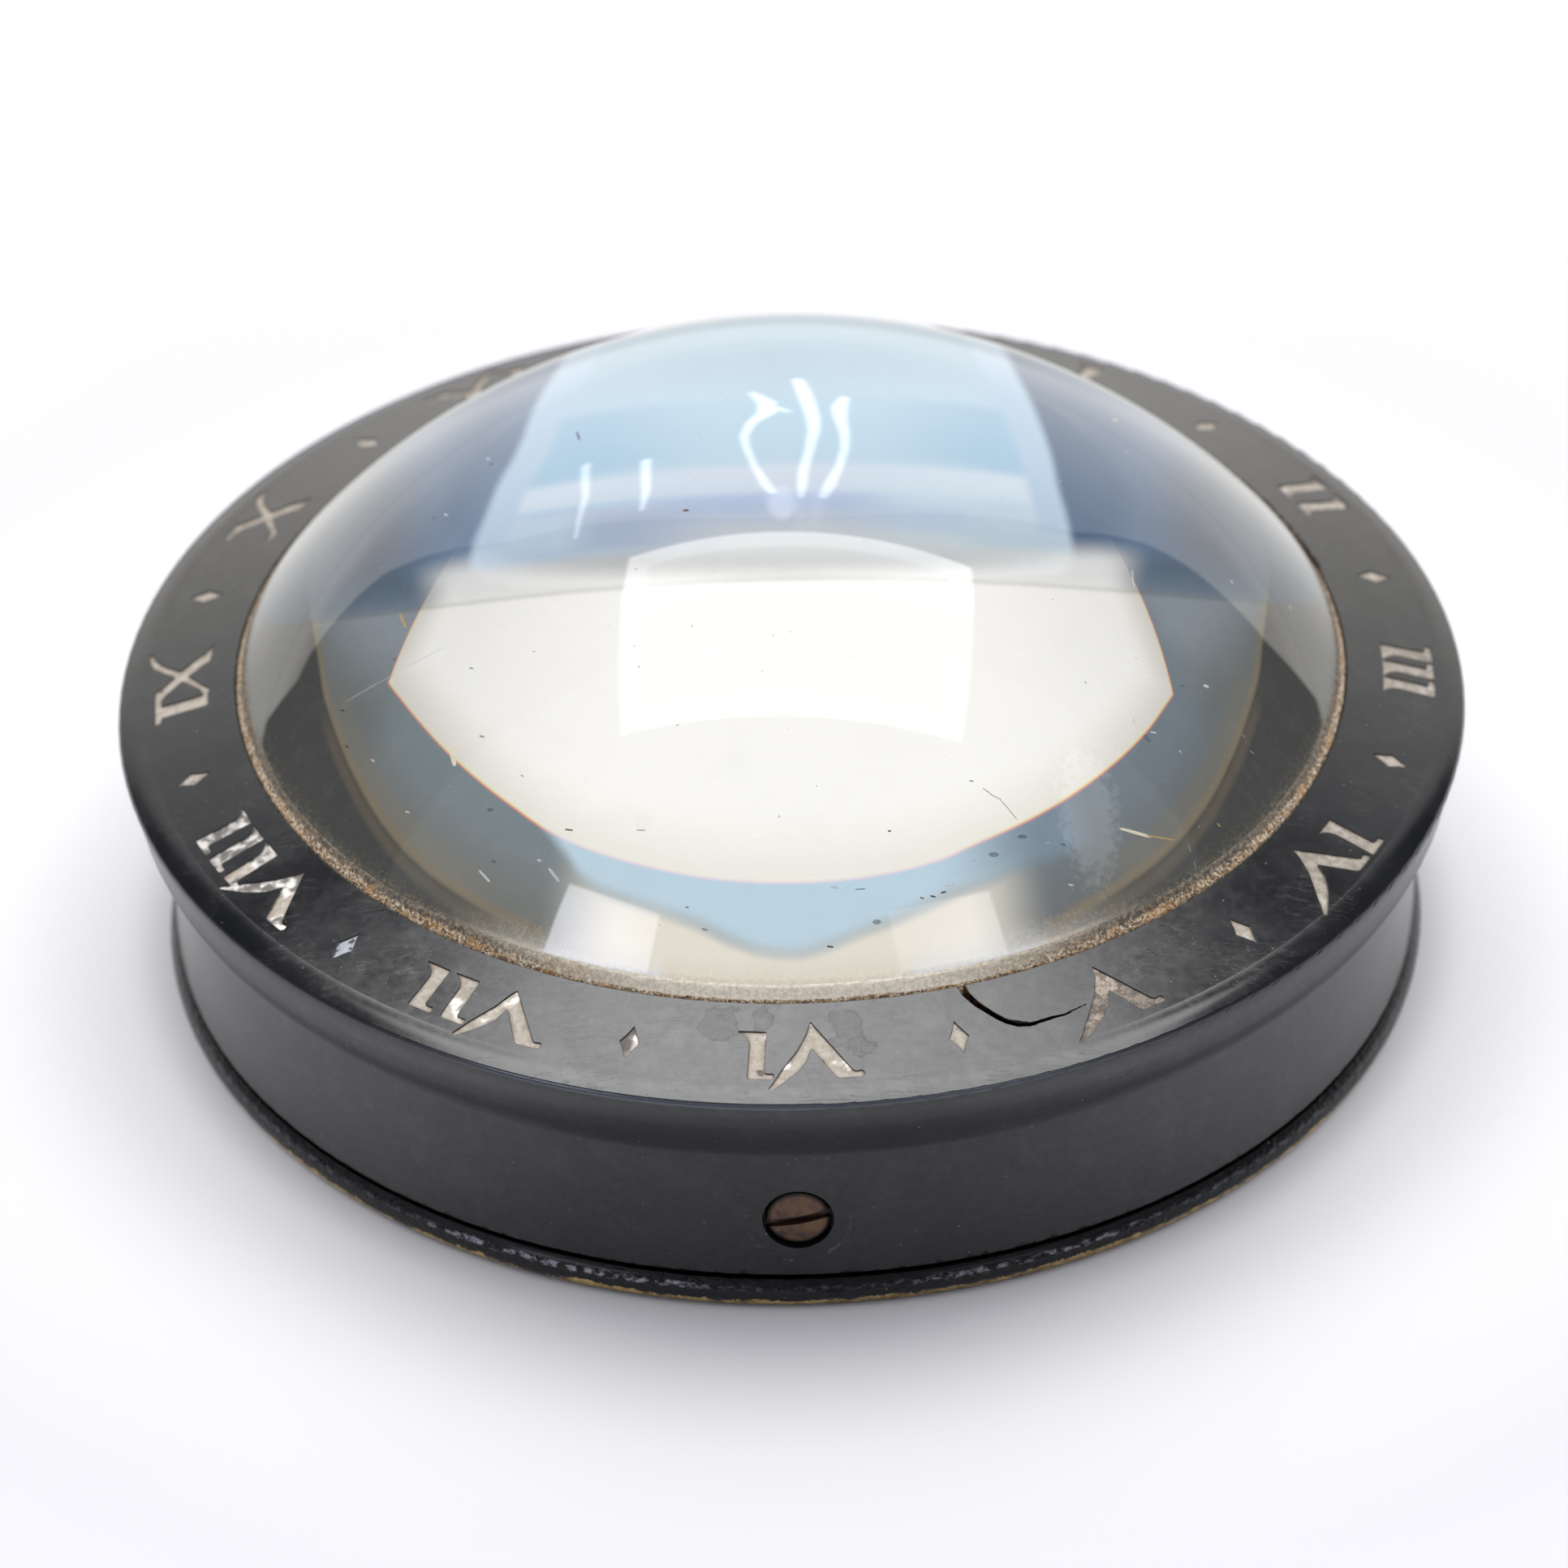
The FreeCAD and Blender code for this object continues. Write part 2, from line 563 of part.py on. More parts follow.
# ---------------------------------------------------------------- brass base ring
def make_base():
    base = new_body("base_ring")
    turned(base, "base_turning", [
        ("ledge_radius + base_inner_break", "0"),
        ("bead_radius - bead_round", "0"),
        ("bead_radius", "bead_round"),
        ("bead_radius - bead_top_inset", "bead_height"),
        ("seat_radius", "bead_height - seat_drop"),
        ("seat_radius", "skirt_bottom_height"),
        ("spigot_radius", "skirt_bottom_height"),
        ("spigot_radius", "spigot_top_height - spigot_lead"),
        ("spigot_radius - spigot_lead", "spigot_top_height"),
        ("spigot_inner_radius", "spigot_top_height"),
        ("spigot_inner_radius", "ledge_height"),
        ("ledge_radius", "ledge_height"),
        ("ledge_radius", "base_inner_break"),
    ], {1: ("bead_round", -1), 2: ("bead_top_radius", -1)})
    tap = radial_hole(base, "tapped_hole", "tapped_hole_circle", "screw_hole_radius",
                      "spigot_inner_radius - tapped_hole_run_in")
    repeat_round(base, "tapped_hole_pattern", [tap])
    return base


# ---------------------------------------------------------------- three slotted side screws
# (label, azimuth counter-clockwise from +X, turn of the slot), in degrees
SCREWS = [
    ("side_screw_front", -90.0, 101.0),
    ("side_screw_right", 30.0, 152.0),
    ("side_screw_left", 150.0, 67.0),
]
SLOT_CUT_LENGTH = 3.0      # from the slot's floor to clear of the crown


def cut_slot(screw, label):
    before = screw.Shape.Volume
    sketch = new_sketch(screw, label + "_slot_outline", "XY_Plane")
    half_width, half_length = dims["screw_slot_width"] / 2.0, dims["screw_slot_length"] / 2.0
    add_polygon(sketch, [Vector(-half_length, -half_width, 0), Vector(half_length, -half_width, 0),
                         Vector(half_length, half_width, 0), Vector(-half_length, half_width, 0)])
    for side, kind in ((0, "Horizontal"), (2, "Horizontal"), (1, "Vertical"), (3, "Vertical")):
        constrain(sketch, kind, side)
    constrain(sketch, "Symmetric", 0, START, 1, END, *ORIGIN)
    dimension(sketch, "width", "screw_slot_width", "DistanceY", 1, START, 1, END)
    dimension(sketch, "length", "screw_slot_length", "DistanceX", 0, START, 0, END)
    sketch.setExpression("AttachmentOffset.Base.z", formula(
        "screw_head_edge + screw_head_crown - screw_seat_radius - screw_slot_depth"))
    doc.recompute()
    slot = screw.newObject("PartDesign::Pocket", label + "_slot")
    slot.Profile = sketch
    slot.Type = 0              # by length
    slot.Length = SLOT_CUT_LENGTH
    slot.Reversed = True       # upward, out through the head's crown
    must_cut(screw, slot, before)


def lay_radially(piece, azimuth, radius, height, spin):
    """Lay a piece made along +Z down so that its +Z points outward at the azimuth."""
    outward = FreeCAD.Rotation(Vector(0, 0, 1), Vector(1, 0, 0))
    turn = FreeCAD.Rotation(Vector(0, 0, 1), azimuth)
    roll = FreeCAD.Rotation(Vector(0, 0, 1), spin)
    angle = math.radians(azimuth)
    place = Vector(radius * math.cos(angle), radius * math.sin(angle), height)
    piece.Placement = FreeCAD.Placement(place, turn.multiply(outward).multiply(roll))


def make_screw(label, azimuth, spin):
    """Screw turned about its own Z with the head's seat at z = 0, then laid radially."""
    screw = new_body(label)
    turned(screw, label + "_turning", [
        ("0", "screw_tip_radius - screw_seat_radius"),
        ("screw_shank_radius - screw_tip_break", "screw_tip_radius - screw_seat_radius"),
        ("screw_shank_radius", "screw_tip_radius + screw_tip_break - screw_seat_radius"),
        ("screw_shank_radius", "0"),
        ("screw_head_radius", "0"),
        ("screw_head_radius", "screw_head_edge - screw_seat_radius - screw_head_break"),
        ("screw_head_radius - screw_head_break", "screw_head_edge - screw_seat_radius"),
        ("0", "screw_head_edge + screw_head_crown - screw_seat_radius"),
    ], {6: ("screw_crown_radius", -1)})
    cut_slot(screw, label)
    lay_radially(screw, azimuth, dims["screw_seat_radius"], dims["screw_height"], spin)
    return screw


# ---------------------------------------------------------------- build, check and write
pieces = make_engraved_ring(make_ring_blank())
pieces += [make_lens(), make_cement(), make_base()]
pieces += [make_screw(*screw) for screw in SCREWS]

doc.recompute()
failed = [item.Label for item in doc.Objects if "Invalid" in item.State or "Error" in item.State]
if failed:
    raise RuntimeError("failed objects: " + ", ".join(failed))
for piece in pieces:
    if piece.Shape.isNull() or not piece.Shape.isValid() or not piece.Shape.Solids:
        raise RuntimeError("bad shape: " + piece.Label)
os.makedirs("parts", exist_ok=True)
for piece in pieces:
    piece.Shape.exportStep("parts/%s.step" % piece.Label)
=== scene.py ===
# A domed glass magnifier standing on white paper: a plano-convex lens bedded in cement in a
# black ebonite bezel with twelve inlaid numerals, on a lacquered brass base ring.
# It is turned about +Z and stands on z = 0. -Y is the front (the VI), +X is on the right.
# Sizes are in millimetres unless noted and go through MM; bearings are in degrees from +Y
# towards +X.

import math
import random
from functools import reduce

import bmesh
import bpy
from mathutils import Matrix, Vector, noise

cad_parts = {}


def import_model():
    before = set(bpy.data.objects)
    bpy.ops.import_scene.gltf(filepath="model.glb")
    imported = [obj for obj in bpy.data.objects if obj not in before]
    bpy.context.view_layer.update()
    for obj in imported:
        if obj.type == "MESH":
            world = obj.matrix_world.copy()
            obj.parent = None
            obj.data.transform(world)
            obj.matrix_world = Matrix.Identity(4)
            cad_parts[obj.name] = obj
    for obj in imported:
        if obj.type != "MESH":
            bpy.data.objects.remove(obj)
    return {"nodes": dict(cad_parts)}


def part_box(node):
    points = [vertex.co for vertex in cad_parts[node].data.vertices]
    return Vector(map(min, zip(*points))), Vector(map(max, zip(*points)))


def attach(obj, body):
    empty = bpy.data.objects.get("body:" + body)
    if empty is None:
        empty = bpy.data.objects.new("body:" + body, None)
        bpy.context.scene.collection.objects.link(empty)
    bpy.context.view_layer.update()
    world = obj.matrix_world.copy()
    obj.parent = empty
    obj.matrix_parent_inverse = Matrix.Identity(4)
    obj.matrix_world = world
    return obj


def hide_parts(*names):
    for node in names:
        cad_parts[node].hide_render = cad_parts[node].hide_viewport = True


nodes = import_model()["nodes"]
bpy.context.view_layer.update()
scene = bpy.context.scene

MM = 0.001
DEGREES = 57.29578  # degrees in a radian
RADIANS = 0.0174533  # radians in a degree
GLASS_IOR = 1.52
TURN = 0.371  # the studio is turned this many degrees about +Z
SCREW_Z = 7.3  # height of the three side screws' axes
SCREW_DIRECTIONS = (-90.0, 30.0, 150.0)  # degrees from +X towards +Y

# ------------------------------------------------------------------ node tools


class Value:
    """An output socket of a node tree. Arithmetic on it adds Math nodes."""

    def __init__(self, tree, socket):
        self.tree, self.socket = tree, socket

    def __add__(self, other):
        return math_node("ADD", self, other)

    def __radd__(self, other):
        return math_node("ADD", other, self)

    def __sub__(self, other):
        return math_node("SUBTRACT", self, other)

    def __rsub__(self, other):
        return math_node("SUBTRACT", other, self)

    def __mul__(self, other):
        return math_node("MULTIPLY", self, other)

    def __truediv__(self, other):
        return math_node("DIVIDE", self, other)

    def __abs__(self):
        return math_node("ABSOLUTE", self)


def feed(socket, value):
    """Links a Value to an input socket, or sets a constant; colours get an alpha of 1."""
    if isinstance(value, Value):
        value.tree.links.new(value.socket, socket)
    elif isinstance(value, tuple) and len(value) == 3 and len(socket.default_value) == 4:
        socket.default_value = value + (1.0,)
    else:
        socket.default_value = value


def result(tree, kind, inputs=(), output=0, **settings):
    """Adds a node and returns one of its outputs. inputs is a sequence or {socket: value}."""
    made = tree.nodes.new(kind)
    for key, value in settings.items():
        setattr(made, key, value)
    for key, value in inputs.items() if isinstance(inputs, dict) else enumerate(inputs):
        feed(made.inputs[key], value)
    return Value(tree, made.outputs[output])


def math_node(operation, *terms, clamp=False):
    tree = next(term.tree for term in terms if isinstance(term, Value))
    return result(tree, "ShaderNodeMath", terms, operation=operation, use_clamp=clamp)


def larger(a, b):
    return math_node("MAXIMUM", a, b)


def smaller(a, b):
    return math_node("MINIMUM", a, b)


def limit(x, low, high):
    return larger(smaller(x, high), low)


def hypot(x, y):
    return math_node("SQRT", x * x + y * y)


def arctan2(a, b):
    """The angle of a over b in degrees; of x over y it is a bearing."""
    return math_node("ARCTAN2", a, b) * DEGREES


def elevation(z):
    return math_node("ARCSINE", z) * DEGREES


def rise(x, low, high):
    """0 below low, 1 above high, smooth between."""
    return result(x.tree, "ShaderNodeMapRange", (x, low, high, 0.0, 1.0),
                  interpolation_type="SMOOTHSTEP")


def fall(x, low, high):
    """1 below low, 0 above high, smooth between."""
    return 1.0 - rise(x, low, high)


def window(x, rise_low, rise_high, fall_low, fall_high):
    return rise(x, rise_low, rise_high) * fall(x, fall_low, fall_high)


def blend(factor, a, b):
    return a * (1.0 - factor) + b * factor


def ramp(x, from_low, from_high, to_low, to_high):
    """Straight map of one range to another, clamped."""
    return result(x.tree, "ShaderNodeMapRange", (x, from_low, from_high, to_low, to_high),
                  clamp=True)


def curve(x, points, smooth=True):
    """A function given by points (x, y) in order of x."""
    start, end = points[0][0], points[-1][0]
    low = min(y for _, y in points)
    high = max(y for _, y in points)
    made = x.tree.nodes.new("ShaderNodeFloatCurve")
    line = made.mapping.curves[0]
    while len(line.points) > 2:
        line.points.remove(line.points[1])
    line.points[0].location = (0.0, (points[0][1] - low) / (high - low))
    line.points[1].location = (1.0, (points[-1][1] - low) / (high - low))
    for px, py in points[1:-1]:
        line.points.new((px - start) / (end - start), (py - low) / (high - low))
    for point in line.points:
        point.handle_type = "AUTO" if smooth else "VECTOR"
    made.mapping.use_clip = True
    made.mapping.update()
    feed(made.inputs["Value"], ramp(x, start, end, 0.0, 1.0))
    return Value(x.tree, made.outputs[0]) * (high - low) + low


def split(value):
    made = value.tree.nodes.new("ShaderNodeSeparateXYZ")
    feed(made.inputs[0], value)
    return [Value(value.tree, made.outputs[i]) for i in range(3)]


def vector(x, y, z):
    return result(x.tree, "ShaderNodeCombineXYZ", (x, y, z))


def rgb(red, green, blue):
    return result(red.tree, "ShaderNodeCombineColor", (red, green, blue))


def mix(factor, a, b):
    return result(factor.tree, "ShaderNodeMix", {0: factor, 6: a, 7: b}, 2,
                  data_type="RGBA", clamp_factor=True)


def layered(colour, *layers):
    """Lays (mask, colour) layers one over another."""
    for mask, top in layers:
        colour = mix(mask, colour, top)
    return colour


def vector_math(operation, *terms):
    inputs = terms
    if operation == "SCALE":
        inputs = {0: terms[0], "Scale": terms[1]}
    output = 1 if operation in ("DOT_PRODUCT", "LENGTH") else 0
    return result(terms[0].tree, "ShaderNodeVectorMath", inputs, output, operation=operation)


def noise_at(point, scale, detail=2.0, roughness=0.5):
    inputs = {"Vector": point, "Scale": scale, "Detail": detail, "Roughness": roughness}
    return result(point.tree, "ShaderNodeTexNoise", inputs)


def voronoi(point, scale, output="Distance"):
    return result(point.tree, "ShaderNodeTexVoronoi", {"Vector": point, "Scale": scale}, output)


def patches(point, scale, low, high):
    return rise(noise_at(point, scale, 1.0), low, high)


def specks(point, scale, core, rim, where):
    """Round dots in patches; where is the patches' (scale, low, high)."""
    return fall(voronoi(point, scale), core, rim) * patches(point, *where)


def scratches(point, scale, angle, thin, stretch, where, seed=0.0):
    """Long thin marks in patches, drawn out by stretch along a line at angle."""
    mapped = result(point.tree, "ShaderNodeMapping", {
        "Vector": point,
        "Location": (seed, seed * 0.7, seed * 1.3),
        "Rotation": (0.0, 0.0, math.radians(angle)),
        "Scale": (scale / stretch, scale, scale * 0.6)})
    return fall(abs(noise_at(mapped, 1.0, 3.0, 0.6) - 0.5), 0.0, thin) * patches(point, *where)


def start_group(name, inputs, output, output_kind):
    """Returns the group, its input Values and the socket that takes its result."""
    tree = bpy.data.node_groups.new(name, "ShaderNodeTree")
    for key in inputs:
        tree.interface.new_socket(name=key, in_out="INPUT", socket_type="NodeSocketVector")
    tree.interface.new_socket(name=output, in_out="OUTPUT", socket_type=output_kind)
    entry = tree.nodes.new("NodeGroupInput")
    target = tree.nodes.new("NodeGroupOutput").inputs[0]
    return tree, [Value(tree, entry.outputs[key]) for key in inputs], target


def use(tree, group, **inputs):
    return result(tree, "ShaderNodeGroup", inputs, node_tree=group)


# ------------------------------------------------------------------ studio in mirror and glass

# top of the white sweep on either side: (|x / y|, z / y) of the direction
ARCH_TOP_LEFT = [
    (0.0, 1.6), (0.780, 1.6), (0.798, 0.6), (0.814, 0.301), (0.86, 0.24), (0.929, 0.185),
    (1.012, 0.133), (1.173, 0.118), (1.443, 0.130), (2.4, 0.15)]
ARCH_TOP_RIGHT = [
    (0.0, 1.6), (0.785, 1.6), (0.805, 0.7), (0.826, 0.487), (0.88, 0.38), (0.946, 0.304),
    (1.055, 0.205), (1.246, 0.160), (1.609, 0.165), (2.4, 0.18)]
# brightness of the sweep against z / y
ARCH_LEVEL = [(0.0, 1.42), (0.2, 1.42), (0.42, 1.38), (0.65, 1.22), (1.0, 0.98), (1.3, 0.78),
              (1.6, 0.70)]
# brightness of the ground against elevation, straight behind and to the sides
FLOOR_LEVEL = [(-60.0, 0.93), (-32.0, 0.93), (-24.0, 0.88), (-20.5, 0.80), (-17.0, 0.78),
               (-13.5, 1.0), (-9.5, 1.27), (-4.0, 1.38), (0.0, 1.42)]
FLOOR_SIDE = [(-60.0, 0.93), (-36.0, 0.93), (-28.0, 1.15), (-20.0, 1.36), (-10.0, 1.42),
              (0.0, 1.42)]

# corners (x / z, y / z) of the overhead softbox and the two front panels, anticlockwise
SOFTBOX = [(-0.503, -0.100), (0.506, -0.152), (0.503, 0.548), (-0.430, 0.592)]
SOFTBOX_DEEP = SOFTBOX[:2] + [(0.503, 0.74), (-0.430, 0.74)]
LEFT_PANEL = [(-1.392, -1.061), (-0.776, -1.288), (-0.550, -0.851), (-0.917, -0.628)]
RIGHT_PANEL = [(0.505, -1.267), (1.086, -1.123), (0.787, -0.735), (0.364, -0.876)]

# elevations of borders seen through the glass against bearing, in degrees
WHITE_EDGE = [
    (-38.5, 42.8), (-37.6, 42.6), (-31.9, 41.0), (-24.8, 39.3), (-19.0, 38.1), (-13.3, 37.1),
    (-10.0, 36.45), (-4.6, 35.95), (0.9, 35.85), (4.6, 35.95), (10.6, 36.45), (17.2, 37.35),
    (23.5, 38.95), (29.6, 40.55), (38.9, 42.85), (42.7, 43.6), (44.0, 43.85)]
BLUE_EDGE = [
    (-24.0, 35.6), (-20.0, 35.3), (-16.8, 35.1), (-14.1, 34.7), (-11.2, 34.3), (-9.0, 33.8),
    (-6.2, 33.1), (-4.2, 32.6), (-1.4, 31.8), (0.2, 31.55), (2.1, 31.7), (4.4, 32.3),
    (6.9, 33.2), (10.1, 33.9), (14.8, 34.8), (17.3, 36.5), (19.9, 38.1), (24.0, 40.5)]
OLIVE_EDGE = [
    (0.0, 29.4), (10.0, 30.0), (17.6, 31.0), (24.1, 32.1), (30.5, 33.3), (36.0, 34.8),
    (41.5, 36.6), (48.0, 38.6), (53.0, 39.9), (58.9, 41.4), (66.0, 42.2)]


def quad_mask(p, q, corners, soft):
    """1 inside a convex anticlockwise quad, and the distance inward from its nearest side."""
    sides = []
    for (x0, y0), (x1, y1) in zip(corners, corners[1:] + corners[:1]):
        length = math.hypot(x1 - x0, y1 - y0)
        inward_x, inward_y = -(y1 - y0) / length, (x1 - x0) / length
        sides.append(p * inward_x + q * inward_y - (inward_x * x0 + inward_y * y0))
    inset = reduce(smaller, sides)
    return rise(inset, -soft, soft), inset


def turned(direction):
    """The direction's parts, turned by TURN about +Z."""
    x, y, z = split(direction)
    cosine, sine = math.cos(math.radians(TURN)), math.sin(math.radians(TURN))
    return x * cosine + y * sine, y * cosine - x * sine, z


def studio_reflection(name, box_corners, level_left, level_right, edge_gain, flare=False):
    """What polished surfaces mirror: white sweep behind, softbox overhead, two front panels."""
    tree, (direction,), target = start_group(name, ["Dir"], "Color", "NodeSocketColor")
    x, y, z = turned(direction)
    safe_z = larger(z, 0.02)
    p, q = x / safe_z, y / safe_z
    up = rise(z, 0.03, 0.08)

    box, inset = quad_mask(p, q, box_corners, 0.006)
    rim = fall(inset, 0.060, 0.085)
    if flare:
        fan = rise(0.565 - abs(p) / larger(q, 0.05), -0.035, 0.035)
        box = box * larger(fan, fall(q, 0.40, 0.46))
        box = box * (1.0 + fall(q, 0.20, 0.52) * 0.30)
    soft = box * up * (ramp(p, 0.0, 0.22, level_left, level_right) + rim * edge_gain)
    if not flare:
        soft = soft * ramp(q, 0.30, 0.40, 0.44, 1.0)
    left = quad_mask(p, q, LEFT_PANEL, 0.008)[0]
    right = quad_mask(p, q, RIGHT_PANEL, 0.008)[0]
    left_level = ramp(p, -1.05, -0.62, 7.6, 3.4)
    right_level = ramp(p, 0.45, 0.95, 1.5, 3.4)

    # the sweep, in the upright plane behind
    safe_y = larger(y, 0.02)
    across, height = x / safe_y, z / safe_y
    out = smaller(abs(across), 2.4)
    right_side = rise(across, -0.3, 0.3)
    top = blend(right_side, curve(out, ARCH_TOP_LEFT, False), curve(out, ARCH_TOP_RIGHT, False))
    arch = rise(1.54 - across * across * 1.15 - height, -0.02, 0.02)
    arch = arch * rise(top - height, -0.014, 0.014)
    arch = arch * rise(y, 0.02, 0.06) * rise(z, -0.01, 0.0)
    side_loss = rise(out, 0.40, 0.78) * rise(height, 0.02, 0.14) * (0.32 - right_side * 0.12)
    level = curve(limit(height, 0.0, 1.6), ARCH_LEVEL) * (1.0 - side_loss)
    level = level * (1.0 + rise(out, 0.80, 1.15) * 0.22)

    below = fall(z, -0.012, 0.004)
    depth = limit(elevation(z), -60.0, 0.0)
    ground = blend(rise(out, 0.10, 0.26), curve(depth, FLOOR_LEVEL), curve(depth, FLOOR_SIDE))
    ground = ground * (1.0 + rise(out, 0.75, 1.1) * 0.22)

    light = soft + left * up * left_level + right * up * right_level + arch * level + 0.05
    light = light * (1.0 - below) + below * ground
    warm = arch * fall(height, 0.2, 0.9) + below * 0.6
    cool = (left + right) * up
    feed(target, rgb(light * (1.0 + warm * 0.03 - cool * 0.015), light,
                     light * (1.0 - warm * 0.06 + cool * 0.16)))
    return tree


def studio_through_glass():
    """What is seen through the glass: a white panel behind, darker studio to the sides."""
    tree, (direction,), target = start_group(
        "studio_through_glass", ["Dir"], "Color", "NodeSocketColor")
    x, y, z = split(direction)
    elev = elevation(z)
    bearing = arctan2(x, y) + TURN
    aside = abs(bearing)
    bounded = limit(bearing, -60.0, 60.0)
    wobble = (noise_at(direction, 9.0) - 0.5) * 0.35

    # borders of the white panel and its fading towards them
    edge = curve(bounded, WHITE_EDGE)
    side_left = 42.9 + (elev - 43.9) * 0.35
    side_right = 37.7 + (elev - 42.6) * 0.55
    to_right = ramp(bearing, -0.1, 0.1, 0.0, 1.0)
    side = side_left * to_right + side_right * (1.0 - to_right)
    high = rise(elev, 60.0, 66.0)
    near_edge = fall(smaller(elev - edge, (side - aside) * 0.8), -0.4, 4.2)
    fading = 1.0 - rise(aside, 12.0, 44.0) * 0.15 - fall(elev, 36.0, 41.0) * 0.035
    fading = fading * (1.0 - near_edge * (0.09 + rise(aside, 10.0, 40.0) * 0.15))

    # between the white panel and the olive line
    blue_edge = curve(bounded, BLUE_EDGE)
    olive = curve(smaller(aside, 66.0), OLIVE_EDGE)
    deep = curve(limit(elev - olive, 0.0, 8.0),
                 [(0.0, 0.0), (1.2, 0.12), (3.0, 0.45), (5.0, 0.80), (8.0, 1.0)])
    right_tone = mix(deep, (0.170, 0.172, 0.158), (0.195, 0.240, 0.262))
    left_tone = mix(deep, (0.140, 0.148, 0.146), (0.172, 0.215, 0.248))
    far_tone = mix(rise(elev, 40.0, 47.5), (0.150, 0.162, 0.160), (0.250, 0.285, 0.318))
    # below the olive line, and the lines along it
    dark = mix(rise(aside, 13.0, 27.0), (0.30, 0.29, 0.265), (0.062, 0.064, 0.062))
    line = fall(abs(olive - elev + 0.10), 0.10, 0.62) * rise(aside, 16.0, 19.0)
    lower_line = fall(abs(olive - elev - 0.95), 0.15, 0.85) * rise(aside, 20.0, 24.0)
    lower_line = lower_line * fall(aside, 46.0, 54.0)
    glow = fall(abs(elev - olive - 1.1), 0.4, 1.6) * rise(aside, 22.0, 27.0)
    glow = glow * fall(aside, 46.0, 54.0)
    # cream band at the foot, light blue above it
    cream_mask = fall(aside, 11.5, 19.0) * rise(blue_edge - elev + wobble, -0.45, 0.65)
    cream = mix(rise(elev, 28.9, 30.2), (0.60, 0.55, 0.45), (0.80, 0.755, 0.645))
    blue = mix(rise(bearing, -19.0, -9.0), (0.200, 0.262, 0.325), (0.520, 0.675, 0.775))
    # the last term bends the blue edge on the right; its weight is zero
    blue_above = elev - blue_edge + wobble - rise(bearing, 12.0, 20.0) * 0.0
    blue_mask = fall(bearing, 20.3, 22.6) * rise(bearing, -24.0, -20.5)
    blue_mask = blue_mask * rise(blue_above, -0.6, 0.7)
    blue_rim = fall(abs(elev - blue_edge + wobble - 0.15), 0.05, 0.95)
    blue_rim = blue_rim * fall(aside, 12.0, 18.0)
    # the studio in front is plain grey
    front = rise(y * -1.0, -0.1, 0.4)
    zone = layered(
        mix(rise(bearing, -6.0, 6.0), left_tone, right_tone),
        (rise(aside, 37.0, 45.0), far_tone),
        (rise(olive - elev, -0.1, 0.35), dark),
        (line * 0.75, (0.215, 0.178, 0.118)),
        (lower_line * 0.30, (0.22, 0.18, 0.12)),
        (glow * 0.25, (0.24, 0.20, 0.135)),
        (blue_mask, blue),
        (cream_mask, cream),
        (blue_rim * 0.45, (0.53, 0.585, 0.60)),
        (front, (0.46, 0.47, 0.48)))

    # per channel: colour fringe of the panel (degrees), its white, its loss near the border
    channels = ((-0.13, 1.01, 0.0), (-0.03, 1.00, 0.02), (0.06, 0.96, 0.07))
    seen = []
    for base, (shift, white, loss) in zip(split(zone), channels):
        panel = rise(elev - edge - shift, -0.09, 0.09)
        panel = panel * rise(side - aside - shift * 1.5, -0.12, 0.12)
        mask = larger(panel * (1.0 - front), high)
        seen.append(base * (1.0 - mask) + mask * fading * white * (1.0 - near_edge * loss))
    feed(target, rgb(*seen))
    return tree


DOME_REFLECTION = studio_reflection(
    "studio_reflection", SOFTBOX, level_left=4.3, level_right=4.3, edge_gain=1.3)
RING_REFLECTION = studio_reflection(
    "studio_reflection_ring", SOFTBOX_DEEP, level_left=6.2, level_right=5.1, edge_gain=0.0,
    flare=True)
THROUGH_GLASS = studio_through_glass()


def build_world():
    """Each kind of ray sees its own studio."""
    world = bpy.data.worlds.new("studio")
    scene.world = world
    world.use_nodes = True
    tree = world.node_tree
    tree.nodes.clear()
    target = tree.nodes.new("ShaderNodeOutputWorld").inputs[0]
    path = tree.nodes.new("ShaderNodeLightPath").outputs
    direction = result(tree, "ShaderNodeTexCoord", output="Generated")
    x, y, _ = split(direction)
    # light from the sides is strongest, from the front weakest
    ambient = 0.49 + abs(x) * 1.40 + rise(y, -0.2, 0.6) * 0.14 - rise(y * -1.0, -0.1, 0.6) * 0.86
    ambient = larger(ambient, 0.04)
    colour = layered(
        rgb(ambient * 0.955, ambient * 0.96, ambient * 1.045),
        (Value(tree, path["Is Glossy Ray"]), use(tree, RING_REFLECTION, Dir=direction)),
        (Value(tree, path["Is Transmission Ray"]), use(tree, THROUGH_GLASS, Dir=direction)),
        (Value(tree, path["Is Camera Ray"]), (0.975, 0.975, 0.975)))
    feed(target, result(tree, "ShaderNodeBackground", (colour,)))
    world.cycles.sampling_method = "NONE"


build_world()

# ------------------------------------------------------------------ material tools


def new_material(name):
    """Returns the material, its tree, the object point in mm and the surface socket."""
    material = bpy.data.materials.new(name)
    material.use_nodes = True
    tree = material.node_tree
    tree.nodes.clear()
    surface = tree.nodes.new("ShaderNodeOutputMaterial").inputs[0]
    point = vector_math("SCALE", result(tree, "ShaderNodeTexCoord", output="Object"), 1000.0)
    return material, tree, point, surface


def principled(tree, **inputs):
    named = {key.replace("_", " "): value for key, value in inputs.items()}
    return result(tree, "ShaderNodeBsdfPrincipled", named)


def bump(height, distance, strength, normal=None):
    inputs = {"Strength": strength, "Distance": distance, "Height": height}
    if normal is not None:
        inputs["Normal"] = normal
    return result(height.tree, "ShaderNodeBump", inputs)


def mix_shader(factor, a, b):
    return result(b.tree, "ShaderNodeMixShader", (factor, a, b))


